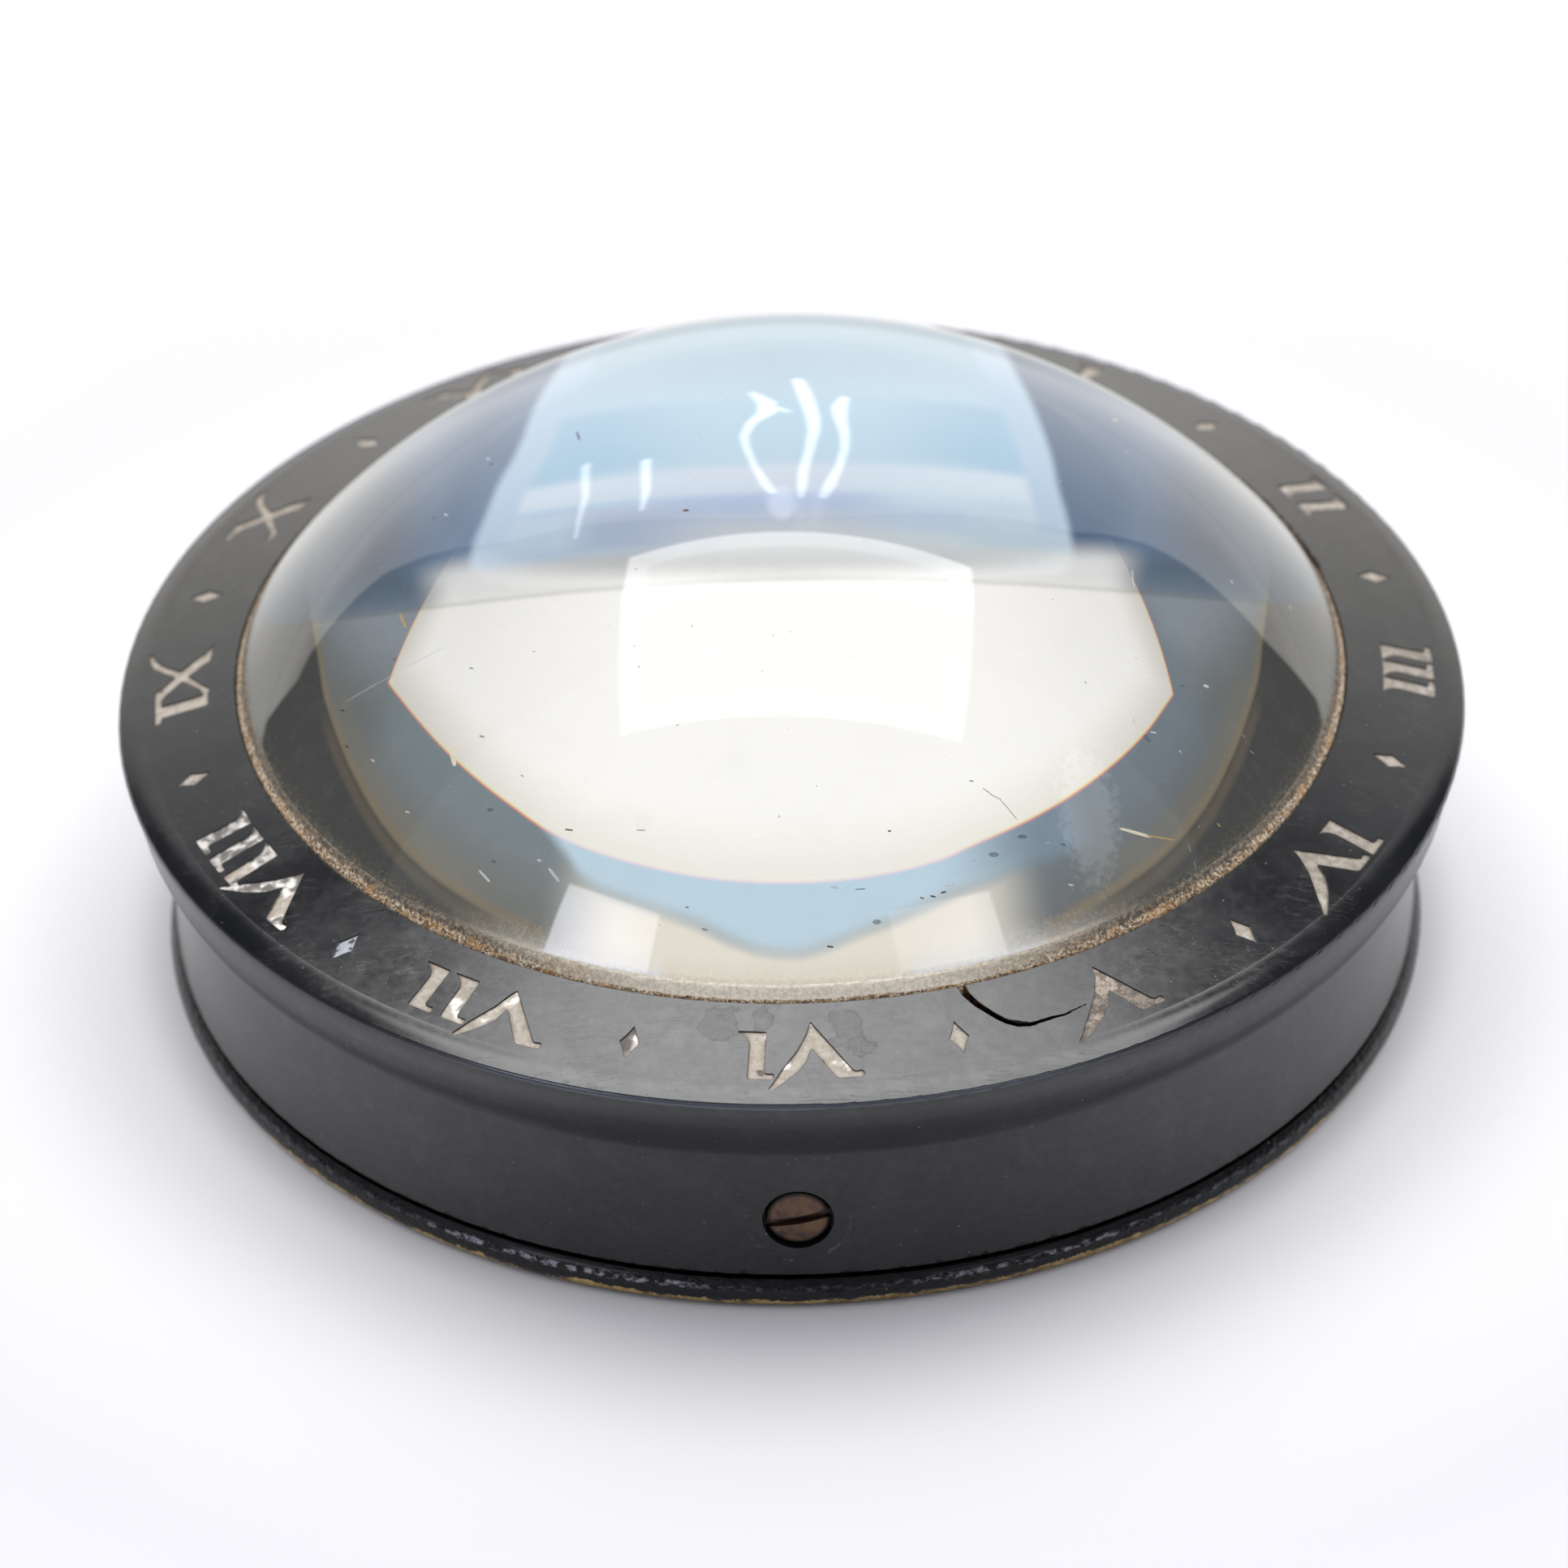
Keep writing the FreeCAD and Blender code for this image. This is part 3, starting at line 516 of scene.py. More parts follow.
def round_normal(point, bevel_radius=None):
    """Normal of a turned surface: its part round the axis is dropped where it is faceting."""
    if bevel_radius is None:
        source = result(point.tree, "ShaderNodeNewGeometry", output="Normal")
    else:
        source = result(point.tree, "ShaderNodeBevel", {"Radius": bevel_radius}, samples=6)
    x, y, _ = split(point)
    normal_x, normal_y, normal_z = split(source)
    radius = hypot(x, y)
    out_x, out_y = x / radius, y / radius
    radial = normal_x * out_x + normal_y * out_y
    around = normal_y * out_x - normal_x * out_y
    kept = rise(abs(around), 0.10, 0.15) * around
    return vector_math("NORMALIZE", vector(
        out_x * radial - out_y * kept, out_y * radial + out_x * kept, normal_z))


def build_segment_distance():
    """Distance of P from the segment A to B."""
    tree, (point, start, end), target = start_group(
        "segment_distance", ["P", "A", "B"], "D", "NodeSocketFloat")
    offset = vector_math("SUBTRACT", point, start)
    along = vector_math("SUBTRACT", end, start)
    share = math_node("DIVIDE", vector_math("DOT_PRODUCT", offset, along),
                      vector_math("DOT_PRODUCT", along, along), clamp=True)
    away = vector_math("SUBTRACT", offset, vector_math("SCALE", along, share))
    feed(target, vector_math("LENGTH", away))
    return tree


SEGMENT = build_segment_distance()


def segment_distance(point, start, end):
    return use(point.tree, SEGMENT, P=point, A=start, B=end)


# ------------------------------------------------------------------ black ebonite

# course of the crack: (bearing, radius)
CRACK = [(163.32, 36.9), (162.95, 39.10), (161.80, 40.60), (160.25, 41.85), (158.40, 42.48),
         (155.05, 42.46), (152.6, 42.2)]
# width of the crack against bearing
CRACK_WIDTH = [(152.0, 0.03), (153.2, 0.055), (155.5, 0.10), (157.6, 0.19), (159.4, 0.27),
               (161.2, 0.26), (162.6, 0.19), (164.0, 0.14)]
# dried water marks near the VI: (x, y, radius)
WATER_MARKS = [(3.6, -40.4, 1.35), (-4.9, -39.6, 1.15), (-2.1, -39.3, 0.8), (4.6, -41.6, 0.7)]
# tilt of the wall's normal from +Z in degrees, against z
WALL_TILT = [(12.9, 90.0), (14.4, 91.0), (15.4, 93.0), (16.2, 96.5), (16.85, 101.0),
             (17.3, 109.0), (17.75, 114.0), (18.2, 109.5), (18.7, 99.0), (19.15, 91.5),
             (19.6, 88.5)]
# specular level of the wall against z, at front and back and at the sides; it paints the light
# and shade bands along the lip
LIP_FRONT = [(2.0, 0.92), (9.0, 0.95), (12.0, 1.0), (12.9, 0.94), (14.0, 0.70), (15.3, 0.46),
             (16.4, 0.52), (17.0, 0.66), (18.0, 1.05), (19.0, 1.30), (19.6, 1.3)]
LIP_SIDE = [(2.0, 1.22), (11.0, 1.36), (13.6, 1.34), (14.5, 1.18), (15.1, 0.80), (15.5, 0.62),
            (15.9, 0.72), (16.6, 1.18), (17.6, 1.32), (18.4, 1.30), (19.1, 1.1), (19.6, 1.0)]


def water_marks(point, x, y):
    """Faint patches with strong tide lines."""
    flat = vector(x, y, 0.0)
    warp = noise_at(point, 0.75) * 3.0 - 1.5
    marks = []
    for mark_x, mark_y, size in WATER_MARKS:
        away = vector_math("LENGTH", vector_math("SUBTRACT", flat, (mark_x, mark_y, 0.0)))
        away = away + warp - size
        fill = fall(away, -0.12, 0.12) * 0.38
        tide = fall(abs(away), 0.02, 0.16) * 0.9
        marks.append(larger(fill, tide))
    return flat, reduce(larger, marks)


def crack_distance(flat):
    places = [(radius * math.sin(math.radians(bearing)),
               radius * math.cos(math.radians(bearing)), 0.0) for bearing, radius in CRACK]
    return reduce(smaller, [segment_distance(flat, start, end)
                            for start, end in zip(places[:-1], places[1:])])


def ebonite():
    material, tree, point, surface = new_material("black_ebonite")
    x, y, z = split(point)
    radius = hypot(x, y)
    normal = round_normal(point, 0.00005)
    # the outer margin of the flange is rolled over; the wall under it is one smooth ogee
    normal_x, normal_y, normal_z = split(normal)
    out_x, out_y = x / radius, y / radius
    top_tilt = 15.2 + rise(radius, 44.7, 46.15) * 12.0
    arc = arctan2(larger(radius - 46.05, 0.0), larger(z - 19.10, 0.0005))
    top_tilt = larger(top_tilt, arc)
    rim_z = rise(z, 19.06, 19.12)
    on_top = larger(rise(normal_z, 0.80, 0.86), rise(radius, 45.98, 46.06) * rim_z)
    on_top = on_top * rise(radius, 44.6, 44.8) * rise(z, 18.95, 19.05)
    wall_tilt = curve(limit(z, 12.9, 19.6), WALL_TILT)
    wall_tilt = 90.0 + (wall_tilt - 90.0) * (1.0 - rise(abs(x) / radius, 0.25, 0.75) * 0.9)
    on_wall = fall(normal_z, 0.72, 0.80) * rise(radius, 43.25, 43.4) * rise(z, 12.6, 13.2)
    on_wall = on_wall * (1.0 - rim_z) * fall(abs(normal_y * out_x - normal_x * out_y), 0.2, 0.3)
    tilt = (top_tilt * on_top + wall_tilt * on_wall) * RADIANS
    cosine, sine = math_node("COSINE", tilt), math_node("SINE", tilt)
    shaped = vector(out_x * sine, out_y * sine, cosine)
    normal = vector_math("NORMALIZE", mix(larger(on_top, on_wall), normal, shaped))

    cloud = noise_at(point, 0.13, 3.0, 0.6)
    fine = noise_at(point, 1.8, 4.0, 0.65)
    grain = noise_at(point, 9.0, 2.0, 0.6)
    flange = rise(z, 19.3, 19.6) * rise(radius, 37.9, 38.15)
    flat, stain = water_marks(point, x, y)
    stain = stain * flange

    # the crack has brown edges
    crack = crack_distance(flat)
    ragged = crack + (fine - 0.5) * 0.55
    bearing = arctan2(x, y)
    width = curve(limit(bearing, 152.0, 164.0), CRACK_WIDTH)
    brown = fall(ragged, 0.22, 0.36) * rise(z, 18.6, 19.0) * fall(radius, 39.4, 41.0)
    brown = brown * rise(fine, 0.42, 0.52)
    black = fall(crack + (grain - 0.5) * 0.16 + (fine - 0.5) * 0.10,
                 width * 0.50, width * 0.86 + 0.02) * rise(z, 18.6, 19.0)
    # the margin of the bore where the cement has fallen out: painted shade in the open gap, with
    # brown bits of cement at its inner edge
    open_gap_shade = window(bearing, 47.0, 51.0, 72.0, 77.0)
    open_gap_shade = open_gap_shade * fall(radius + (fine - 0.5) * 0.7, 38.50, 38.72) * rise(z, 18.6, 19.0)
    open_gap_shade_colour = mix(rise(fine, 0.50, 0.58) * fall(radius, 38.4, 38.6),
                     (0.004, 0.0035, 0.003), (0.20, 0.13, 0.07))

    dust = specks(point, scale=1.15, core=0.035, rim=0.075, where=(0.35, 0.45, 0.62))
    fine_dust = specks(point, scale=2.7, core=0.04, rim=0.085, where=(0.6, 0.56, 0.66))
    scratched = larger(
        scratches(point, scale=1.6, angle=22.0, thin=0.006, stretch=16.0,
                  where=(0.25, 0.5, 0.62)),
        scratches(point, scale=1.9, angle=-51.0, thin=0.005, stretch=18.0,
                  where=(0.22, 0.52, 0.64), seed=7.0)) * 0.7
    haze = rise(cloud, 0.35, 0.7)
    smear = rise(noise_at(point, 0.42, 5.0, 0.7), 0.45, 0.75)
    # worn marks round the front screw, and at the foot of the wall a ragged dark line: old glue,
    # and painted shade in the gap above the base ring
    from_screw = math_node("SQRT", x * x + (z - SCREW_Z) * (z - SCREW_Z))
    tool = fall(abs(from_screw - 3.55 + (fine - 0.5) * 0.8), 0.03, 0.16)
    tool = tool * rise(fine, 0.48, 0.6) * rise(y * -1.0, 30.0, 35.0) * fall(z, 7.6, 8.6)
    foot = fall(z + (noise_at(point, 1.1, 4.0, 0.7) - 0.5) * 1.6, 2.55, 2.75)
    foot = foot * rise(radius, 42.8, 43.0)

    side = rise(abs(x) / radius, 0.20, 0.72)
    height = limit(z, 2.0, 19.6)
    # painted light and shade: the bands along the lip come from this specular level
    lip = blend(side, curve(height, LIP_FRONT), curve(height, LIP_SIDE))
    # painted highlight: a thin lighter bluish line along the rolled outer edge, strongest at the
    # front
    edge_highlight = rise(arc, 32.0, 50.0) * rim_z * rise(radius, 46.05, 46.12) * (1.0 - side * 0.85)
    is_wall = fall(normal_z, 0.72, 0.80) * (1.0 - rim_z) * rise(radius, 43.0, 43.1)
    lip = 1.0 + (lip - 1.0) * is_wall

    colour = layered(
        mix(haze, (0.0095, 0.0105, 0.0125), (0.0150, 0.0155, 0.0170)),
        (stain * 0.4, (0.006, 0.006, 0.006)),
        (scratched * 0.35, (0.055, 0.055, 0.055)),
        (dust * 0.75, (0.30, 0.29, 0.27)),
        (fine_dust * 0.5, (0.16, 0.155, 0.15)),
        (tool * 0.45, (0.11, 0.11, 0.105)),
        (black * 0.95, (0.002, 0.002, 0.002)),
        (brown * 0.8, (0.10, 0.045, 0.018)),
        (foot * 0.9, (0.0045, 0.0045, 0.005)),
        (open_gap_shade * 0.95, open_gap_shade_colour),
        (edge_highlight * 0.8, (0.115, 0.125, 0.15)))
    roughness = 0.155 + haze * 0.05 + (fine - 0.5) * 0.10 + scratched * 0.12 + dust * 0.4
    roughness = roughness + smear * 0.04 + brown * 0.3
    specular = 0.5 + (fine - 0.5) * 0.22 - stain * 0.13 + (smear - 0.5) * 0.10 - brown * 0.25
    specular = specular - foot * 0.3 - black * 0.45 - open_gap_shade * 0.4
    relief = grain * 0.22 + fine * 0.5 - scratched * 0.5 + dust * 1.2
    feed(surface, principled(
        tree, Base_Color=colour, Roughness=larger(roughness, 0.09), IOR=1.52,
        Specular_IOR_Level=larger(specular, 0.02) * lip,
        Normal=bump(relief, 0.00001, 0.5, normal)))
    return material


# ------------------------------------------------------------------ fillers, metals, cement


def filler(name, silver, gone, seed, dull, lozenges=False):
    """Cream paste in the engraving: metallic in places, rubbed out in others, brown-edged."""
    material, tree, point, surface = new_material(name)
    shifted = vector_math("ADD", point, (seed, seed * 1.7, 0.0))
    open_sky = result(tree, "ShaderNodeAmbientOcclusion", {"Distance": 0.00038}, "AO",
                      samples=8, inside=False)
    edge = fall(open_sky, 0.66, 0.97)
    big = noise_at(shifted, 0.45)
    mid = noise_at(shifted, 1.7, 3.0, 0.6)
    fine = noise_at(shifted, 7.5, 3.0, 0.65)
    brown = rise(fine + (mid - 0.5) * 0.6, 0.60, 0.70)
    metal = rise(big + (mid - 0.5) * 0.25, 0.62 - 0.34 * silver, 0.72 - 0.3 * silver)
    metal = metal * (0.35 + 0.65 * silver)
    tone = rise(noise_at(shifted, 1.15), 0.38, 0.62)
    lost = rise(noise_at(shifted, 0.62, 3.0, 0.6) + (fine - 0.5) * 0.18,
                0.72 - 0.24 * gone, 0.80 - 0.24 * gone)
    colour = layered(
        mix(rise(mid, 0.32, 0.68), (0.43, 0.365, 0.285), (0.66, 0.60, 0.50)),
        (rise(fine, 0.42, 0.72) * 0.4, (0.80, 0.75, 0.65)),
        (brown * 0.55, (0.16, 0.085, 0.045)),
        (edge * 0.75, (0.115, 0.060, 0.038)),
        (metal, mix(tone, (0.10, 0.10, 0.10), (0.78, 0.75, 0.72))),
        (lost * 0.85, (0.050, 0.038, 0.030)))
    if dull:
        grime = mix(rise(mid + (fine - 0.5) * 0.6, 0.40, 0.60),
                    (0.085, 0.066, 0.050), (0.27, 0.225, 0.175))
        colour = result(tree, "ShaderNodeMix", {0: dull, 6: colour, 7: grime}, 2,
                        data_type="RGBA", clamp_factor=True)
    if lozenges:
        x, y, _ = split(point)
        bearing = arctan2(x, y)

        def near(degrees):
            """1 round the bearing -degrees."""
            return fall(abs(bearing + degrees), 5.0, 7.0)

        # one lozenge is tin, and half of the next one is dark
        tin = near(135.0)
        metal = larger(metal, tin)
        tin_colour = mix(rise(mid, 0.42, 0.55), (0.040, 0.044, 0.050), (0.24, 0.255, 0.28))
        beyond = rise(bearing * -1.0 + (fine - 0.5) * 0.8, 165.0, 165.4)
        half = near(165.0) * beyond * -1.0 + near(165.0)
        colour = layered(colour, (tin, tin_colour), (half * 0.85, (0.040, 0.034, 0.030)))
    feed(surface, principled(
        tree, Base_Color=colour, Roughness=0.55 - metal * 0.25,
        Metallic=metal * (1.0 - lost) * 0.8,
        Normal=bump(fine * 0.6 + mid * 0.8 - lost * 1.5, 0.00005, 0.7)))
    return material


def brass_lacquer():
    material, tree, point, surface = new_material("black_lacquer_on_brass")
    x, y, z = split(point)
    normal = round_normal(point)
    radius = hypot(x, y)
    broad = noise_at(point, 0.16, 3.0, 0.6)
    mid = noise_at(point, 1.3, 4.0, 0.65)
    fine = noise_at(point, 5.0, 3.0, 0.6)
    # brass shows low on the ring, most of all in three stretches of the front
    low = fall(z, 0.45, 1.40)
    stretches = window(x, -17.0, -14.5, -8.0, -6.5) * 0.16 + fall(x, -24.0, -21.0) * 0.08
    stretches = stretches + window(x, 20.0, 22.0, 27.0, 29.0) * 0.07
    low = low * (1.0 + stretches * rise(y * -1.0, 5.0, 15.0) * 1.9)
    wear = rise(broad * 0.75 + mid * 0.55 + low * 0.46 + (fine - 0.5) * 0.30, 0.985, 1.03)
    wear = wear * rise(radius, 42.5, 42.9) * rise(low, 0.02, 0.3)
    wear = larger(wear, fall(z, 0.02, 0.06) * rise(mid, 0.42, 0.55))
    # a broken line of painted highlight round the ring, strongest at the front left and front
    # right
    broken = noise_at(vector(x, y, z * 2.0), 1.5, 3.0, 0.6)
    sheen_highlight = fall(abs(z - 1.66 + (mid - 0.5) * 0.5), 0.05, 0.26) * rise(broken, 0.44, 0.62)
    sheen_highlight = sheen_highlight * rise(radius, 43.0, 43.3)
    sheen_highlight_level = window(x, -27.0, -21.0, -9.0, -5.0)
    sheen_highlight_level = sheen_highlight_level + window(x, 6.0, 10.0, 20.0, 27.0) * 0.55 + 0.18
    chips = specks(point, scale=1.05, core=0.05, rim=0.13, where=(0.5, 0.5, 0.6))
    gold = mix(rise(mid, 0.35, 0.65), (0.30, 0.19, 0.07), (0.72, 0.52, 0.22))
    inner = fall(radius, 42.0, 42.3)
    colour = layered(
        mix(wear, (0.0045, 0.0045, 0.006), gold),
        (sheen_highlight * sheen_highlight_level * 0.9, (0.36, 0.37, 0.42)),
        (chips * 0.5 * (1.0 - wear), (0.28, 0.27, 0.25)),
        # gold on the inner wall, at zero weight
        (inner * rise(z, 1.6, 2.0) * 0.0, gold))
    relief = mid * 0.9 + fine * 0.5 + noise_at(point, 2.4) * 0.6 - wear * 0.7 + chips * 0.5
    feed(surface, principled(
        tree, Base_Color=colour, Metallic=wear * 0.85,
        Roughness=0.13 + mid * 0.08 + wear * 0.25 + chips * 0.3,
        Coat_Weight=0.12, Coat_Roughness=0.12, Specular_IOR_Level=0.34,
        Normal=bump(relief, 0.00016, 0.9, normal)))
    return material


def screw_axis_distance(x, y, z):
    """Distance from the nearest screw's axis."""
    distances = []
    for degrees in SCREW_DIRECTIONS:
        cosine, sine = math.cos(math.radians(degrees)), math.sin(math.radians(degrees))
        side = x * -sine + y * cosine
        away = math_node("SQRT", side * side + (z - SCREW_Z) * (z - SCREW_Z))
        # the far side of the ring is ruled out
        distances.append(away + rise((x * cosine + y * sine) * -1.0, -20.0, 0.0) * 99.0)
    return reduce(smaller, distances)


def bronze(seed):
    material, tree, point, surface = new_material("screw_bronze_%d" % seed)
    shifted = vector_math("ADD", point, (seed * 3.1, 0.0, seed * 1.7))
    broad = noise_at(shifted, 0.8, 3.0, 0.6)
    mid = noise_at(shifted, 3.5, 3.0, 0.6)
    fine = noise_at(shifted, 14.0, 2.0, 0.6)
    x, y, z = split(point)
    radius = hypot(x, y)
    rim = rise(screw_axis_distance(x, y, z), 1.72, 2.08)
    # painted shade on the parts of the screw that lie deep in the ring
    deep = fall(radius, 42.70, 42.86)
    colour = layered(
        mix(rise(broad, 0.35, 0.62), (0.062, 0.040, 0.042), (0.150, 0.088, 0.052)),
        (rise(mid, 0.5, 0.68) * 0.7, (0.105, 0.078, 0.088)),
        (rise(mid + broad, 1.14, 1.27) * 0.6, (0.20, 0.125, 0.062)),
        (rim, (0.012, 0.011, 0.010)),
        (deep * 0.9, (0.018, 0.015, 0.013)))
    feed(surface, principled(
        tree, Base_Color=colour, Metallic=0.75, Roughness=0.36 + mid * 0.15,
        Normal=bump(fine * 0.3 + mid * 0.6, 0.00004, 0.6)))
    return material


def golden_cement():
    material, tree, point, surface = new_material("golden_cement")
    x, y, _ = split(point)
    radius = hypot(x, y)
    front = rise(y * -1.0 / radius, 0.80, 1.0)
    broad = noise_at(point, 0.5)
    fine = noise_at(point, 3.4, 4.0, 0.75)
    grains = voronoi(point, 6.6)
    red, green, blue = split(voronoi(point, 6.6, "Color"))
    # painted light next to the glass: the cement is pale at the front, grey brown at the sides
    pale = mix(rise(fine, 0.36, 0.64), (0.62, 0.56, 0.46), (0.85, 0.79, 0.67))
    grey = mix(rise(fine, 0.40, 0.66), (0.050, 0.046, 0.040), (0.26, 0.215, 0.15))
    near_glass = mix(front, grey, pale)
    inner = fall(radius + (fine - 0.5) * 0.30, 37.80, 37.95)
    inner_front = fall(radius + (fine - 0.5) * 0.22, 38.04, 38.14)
    # an open gap at the back right where the cement has fallen out, painted near black as shade
    open_gap_shade = window(arctan2(x, y), 47.0, 51.0, 71.0, 75.0)
    open_gap_shade = open_gap_shade * rise(radius + (fine - 0.5) * 0.35, 37.84, 37.94)
    colour = layered(
        mix(rise(red, 0.15, 0.85), (0.170, 0.110, 0.062), (0.56, 0.40, 0.225)),
        (rise(green, 0.70, 0.85), (0.74, 0.66, 0.52)),
        (rise(blue, 0.78, 0.9) * 0.8, (0.045, 0.030, 0.020)),
        (rise(broad, 0.52, 0.68) * 0.45, (0.50, 0.25, 0.08)),
        (inner * (1.0 - front) * 0.92, near_glass),
        (inner_front * front * 0.95, near_glass),
        (open_gap_shade * 0.93, (0.010, 0.008, 0.006)))
    # the emission is painted light that comes through the glass, stronger at the front
    feed(surface, principled(
        tree, Base_Color=colour, Roughness=0.75,
        Normal=bump(fine * 0.9 + grains * -0.6, 0.00008, 0.6),
        Emission_Color=colour, Emission_Strength=0.08 + front * 0.12))
    return material


# ------------------------------------------------------------------ glass

# painted reflections of bright filaments in the upper part of the dome: (brightness, stations),
# where a station is (x / y, z / y, half width) of the mirrored direction
FILAMENTS = [
    (5.6, [(-0.051, 0.392, 0.003), (-0.030, 0.470, 0.014), (-0.034, 0.545, 0.016),
           (-0.066, 0.610, 0.010), (-0.088, 0.700, 0.0085), (-0.092, 0.786, 0.008),
           (-0.084, 0.964, 0.009), (-0.062, 1.150, 0.017), (-0.048, 1.221, 0.014)]),
    (5.6, [(-0.034, 0.500, 0.012), (0.006, 0.540, 0.004)]),
    (5.6, [(0.019, 0.310, 0.006), (0.035, 0.440, 0.011), (0.053, 0.586, 0.0125),
           (0.059, 0.677, 0.012), (0.056, 0.838, 0.011), (0.047, 1.016, 0.014),
           (0.047, 1.176, 0.016), (0.047, 1.281, 0.010)]),
    (5.6, [(0.096, 0.424, 0.006), (0.095, 0.500, 0.013), (0.103, 0.570, 0.012),
           (0.125, 0.692, 0.0095), (0.138, 0.807, 0.0095), (0.141, 0.963, 0.011),
           (0.131, 1.148, 0.020), (0.120, 1.274, 0.016)]),
    (4.2, [(-0.416, 0.600, 0.010), (-0.520, 0.830, 0.010), (-0.720, 1.150, 0.006)]),
    (5.4, [(-0.318, 0.735, 0.012), (-0.395, 0.983, 0.013), (-0.464, 1.147, 0.007)]),
]


def through_for_light(tree, shader, surface):
    """Light for diffuse shading passes the glass straight; all else sees real glass."""
    path = tree.nodes.new("ShaderNodeLightPath").outputs
    clear = result(tree, "ShaderNodeBsdfTransparent", ((0.93, 0.96, 0.99),))
    straight = larger(Value(tree, path["Is Shadow Ray"]), Value(tree, path["Is Diffuse Ray"]))
    feed(surface, mix_shader(straight, shader, clear))


def clear_glass(tree, colour, kind="Glass"):
    inputs = {"IOR": GLASS_IOR, "Roughness": 0.0, "Color": colour}
    return result(tree, "ShaderNodeBsdf" + kind, inputs)


def mirrored_filaments(direction):
    x, y, z = turned(direction)
    safe_y = larger(y, 0.05)
    across, height = x / safe_y, z / safe_y
    place = vector(across, height, 0.0)
    valid = rise(y, 0.08, 0.14) * rise(z, 0.05, 0.1)
    glows = []
    for brightness, stations in FILAMENTS:
        outlines = [
            segment_distance(place, (ax, ay, 0.0), (bx, by, 0.0))
            - ramp(height, ay, by, a_width, b_width)
            for (ax, ay, a_width), (bx, by, b_width) in zip(stations[:-1], stations[1:])]
        glows.append(fall(reduce(smaller, outlines), -0.006, 0.006) * brightness)
    glow = reduce(larger, glows)
    # painted reflection: pale rays that run on past the filaments, and a soft spot among them
    rays = fall(abs(across - 0.047), 0.004, 0.03) + fall(abs(across - 0.105), 0.01, 0.05)
    rays = rays * rise(height, 1.15, 1.3) * fall(height, 1.45, 1.9) * 0.9
    spot = fall(math_node("SQRT", (across + 0.02) * (across + 0.02) * 14.0
                          + (height - 1.37) * (height - 1.37)), 0.11, 0.26)
    return (larger(glow, rays) + spot * 2.9) * valid


def dome_film(point, dust):
    """Painted light, given as glow: what a smeared film, lint and dust on the outside scatter.
    """
    film = noise_at(point, 0.5, 4.0, 0.6)
    lint = larger(
        scratches(point, scale=1.2, angle=35.0, thin=0.0035, stretch=20.0,
                  where=(0.2, 0.54, 0.60), seed=3.0),
        scratches(point, scale=1.5, angle=-62.0, thin=0.003, stretch=22.0,
                  where=(0.17, 0.55, 0.61), seed=11.0))
    # a hazy patch of painted glow at the front right
    x, y, _ = split(point)
    away = math_node("SQRT", (x - 19.9) * (x - 19.9) * 0.20 + (y + 26.2) * (y + 26.2) * 0.065)
    haze = fall(away + (noise_at(point, 1.6, 4.0, 0.7) - 0.5) * 1.5, 0.55, 1.10)
    return haze * 0.075 + rise(film, 0.45, 0.8) * 0.010 + lint * 0.05 + dust * 0.10


def sugary_margin(point):
    """Colour and cover of the lens's ground margin, which glows: painted light, pale at the
    front.
    """
    x, y, _ = split(point)
    radius = hypot(x, y)
    front = rise(y * -1.0 / radius, 0.74, 0.95)
    grain = noise_at(point, 3.0, 4.0, 0.75) * 0.5 + noise_at(point, 9.0, 3.0, 0.7) * 0.5
    start = 36.75 - front * 0.55
    mask = rise(radius + (grain - 0.5) * 2.4, start, start + 1.35)
    spark = rise(grain, 0.47, 0.60)
    side_colour = mix(spark, (0.070, 0.068, 0.058), (0.27, 0.225, 0.15))
    # two cooler stretches of the front: painted reflections of the two front panels
    cool = larger(window(x, -17.2, -16.4, -9.1, -8.5), window(x, 7.6, 8.4, 16.3, 17.2))
    front_colour = mix(spark, mix(cool, (0.60, 0.55, 0.465), (0.64, 0.635, 0.65)),
                       mix(cool, (0.74, 0.69, 0.60), (0.76, 0.755, 0.77)))
    # the cover rises at the very edge, most of all at the front: painted light over the dark
    # line there
    cover = larger(mask * (0.42 + front * 0.08),
                   rise(radius, 37.15, 37.5) * (0.55 + front * 0.40))
    return mix(front, side_colour, front_colour), cover


def dome_glass():
    material, tree, point, surface = new_material("optical_glass_dome")
    mirrored = result(tree, "ShaderNodeTexCoord", output="Reflection")
    reflection = use(tree, DOME_REFLECTION, Dir=mirrored)
    extra = mirrored_filaments(mirrored)
    fresnel = result(tree, "ShaderNodeFresnel", {"IOR": GLASS_IOR})
    dust = specks(point, scale=0.85, core=0.022, rim=0.05, where=(0.3, 0.47, 0.6))
    film = dome_film(point, dust)
    grit, cover = sugary_margin(point)
    # from outside: painted reflection and margin over pure refraction; from inside: glass
    light = [(fresnel * (studio + extra) + film) * (1.0 - cover * 0.6) + cover * ground
             for studio, ground in zip(split(reflection), split(grit))]
    tint = (1.0 - fresnel - dust * 0.35) * (1.0 - cover)
    outside = result(tree, "ShaderNodeAddShader", (
        result(tree, "ShaderNodeEmission", (rgb(*light),)),
        clear_glass(tree, rgb(tint, tint, tint), "Refraction")))
    backfacing = result(tree, "ShaderNodeNewGeometry", output="Backfacing")
    glass = mix_shader(backfacing, outside, clear_glass(tree, (1.0, 1.0, 1.0)))
    through_for_light(tree, glass, surface)
    return material


def base_glass():
    material, tree, point, surface = new_material("optical_glass_base")
    # small marks on the flat face
    spots = specks(point, scale=0.55, core=0.02, rim=0.05, where=(0.25, 0.5, 0.6))
    film = noise_at(point, 0.35, 4.0, 0.65)
    tint = 1.0 - spots * 0.35 - rise(film, 0.5, 0.8) * 0.03
    through_for_light(tree, clear_glass(tree, rgb(tint, tint, tint)), surface)
    return material


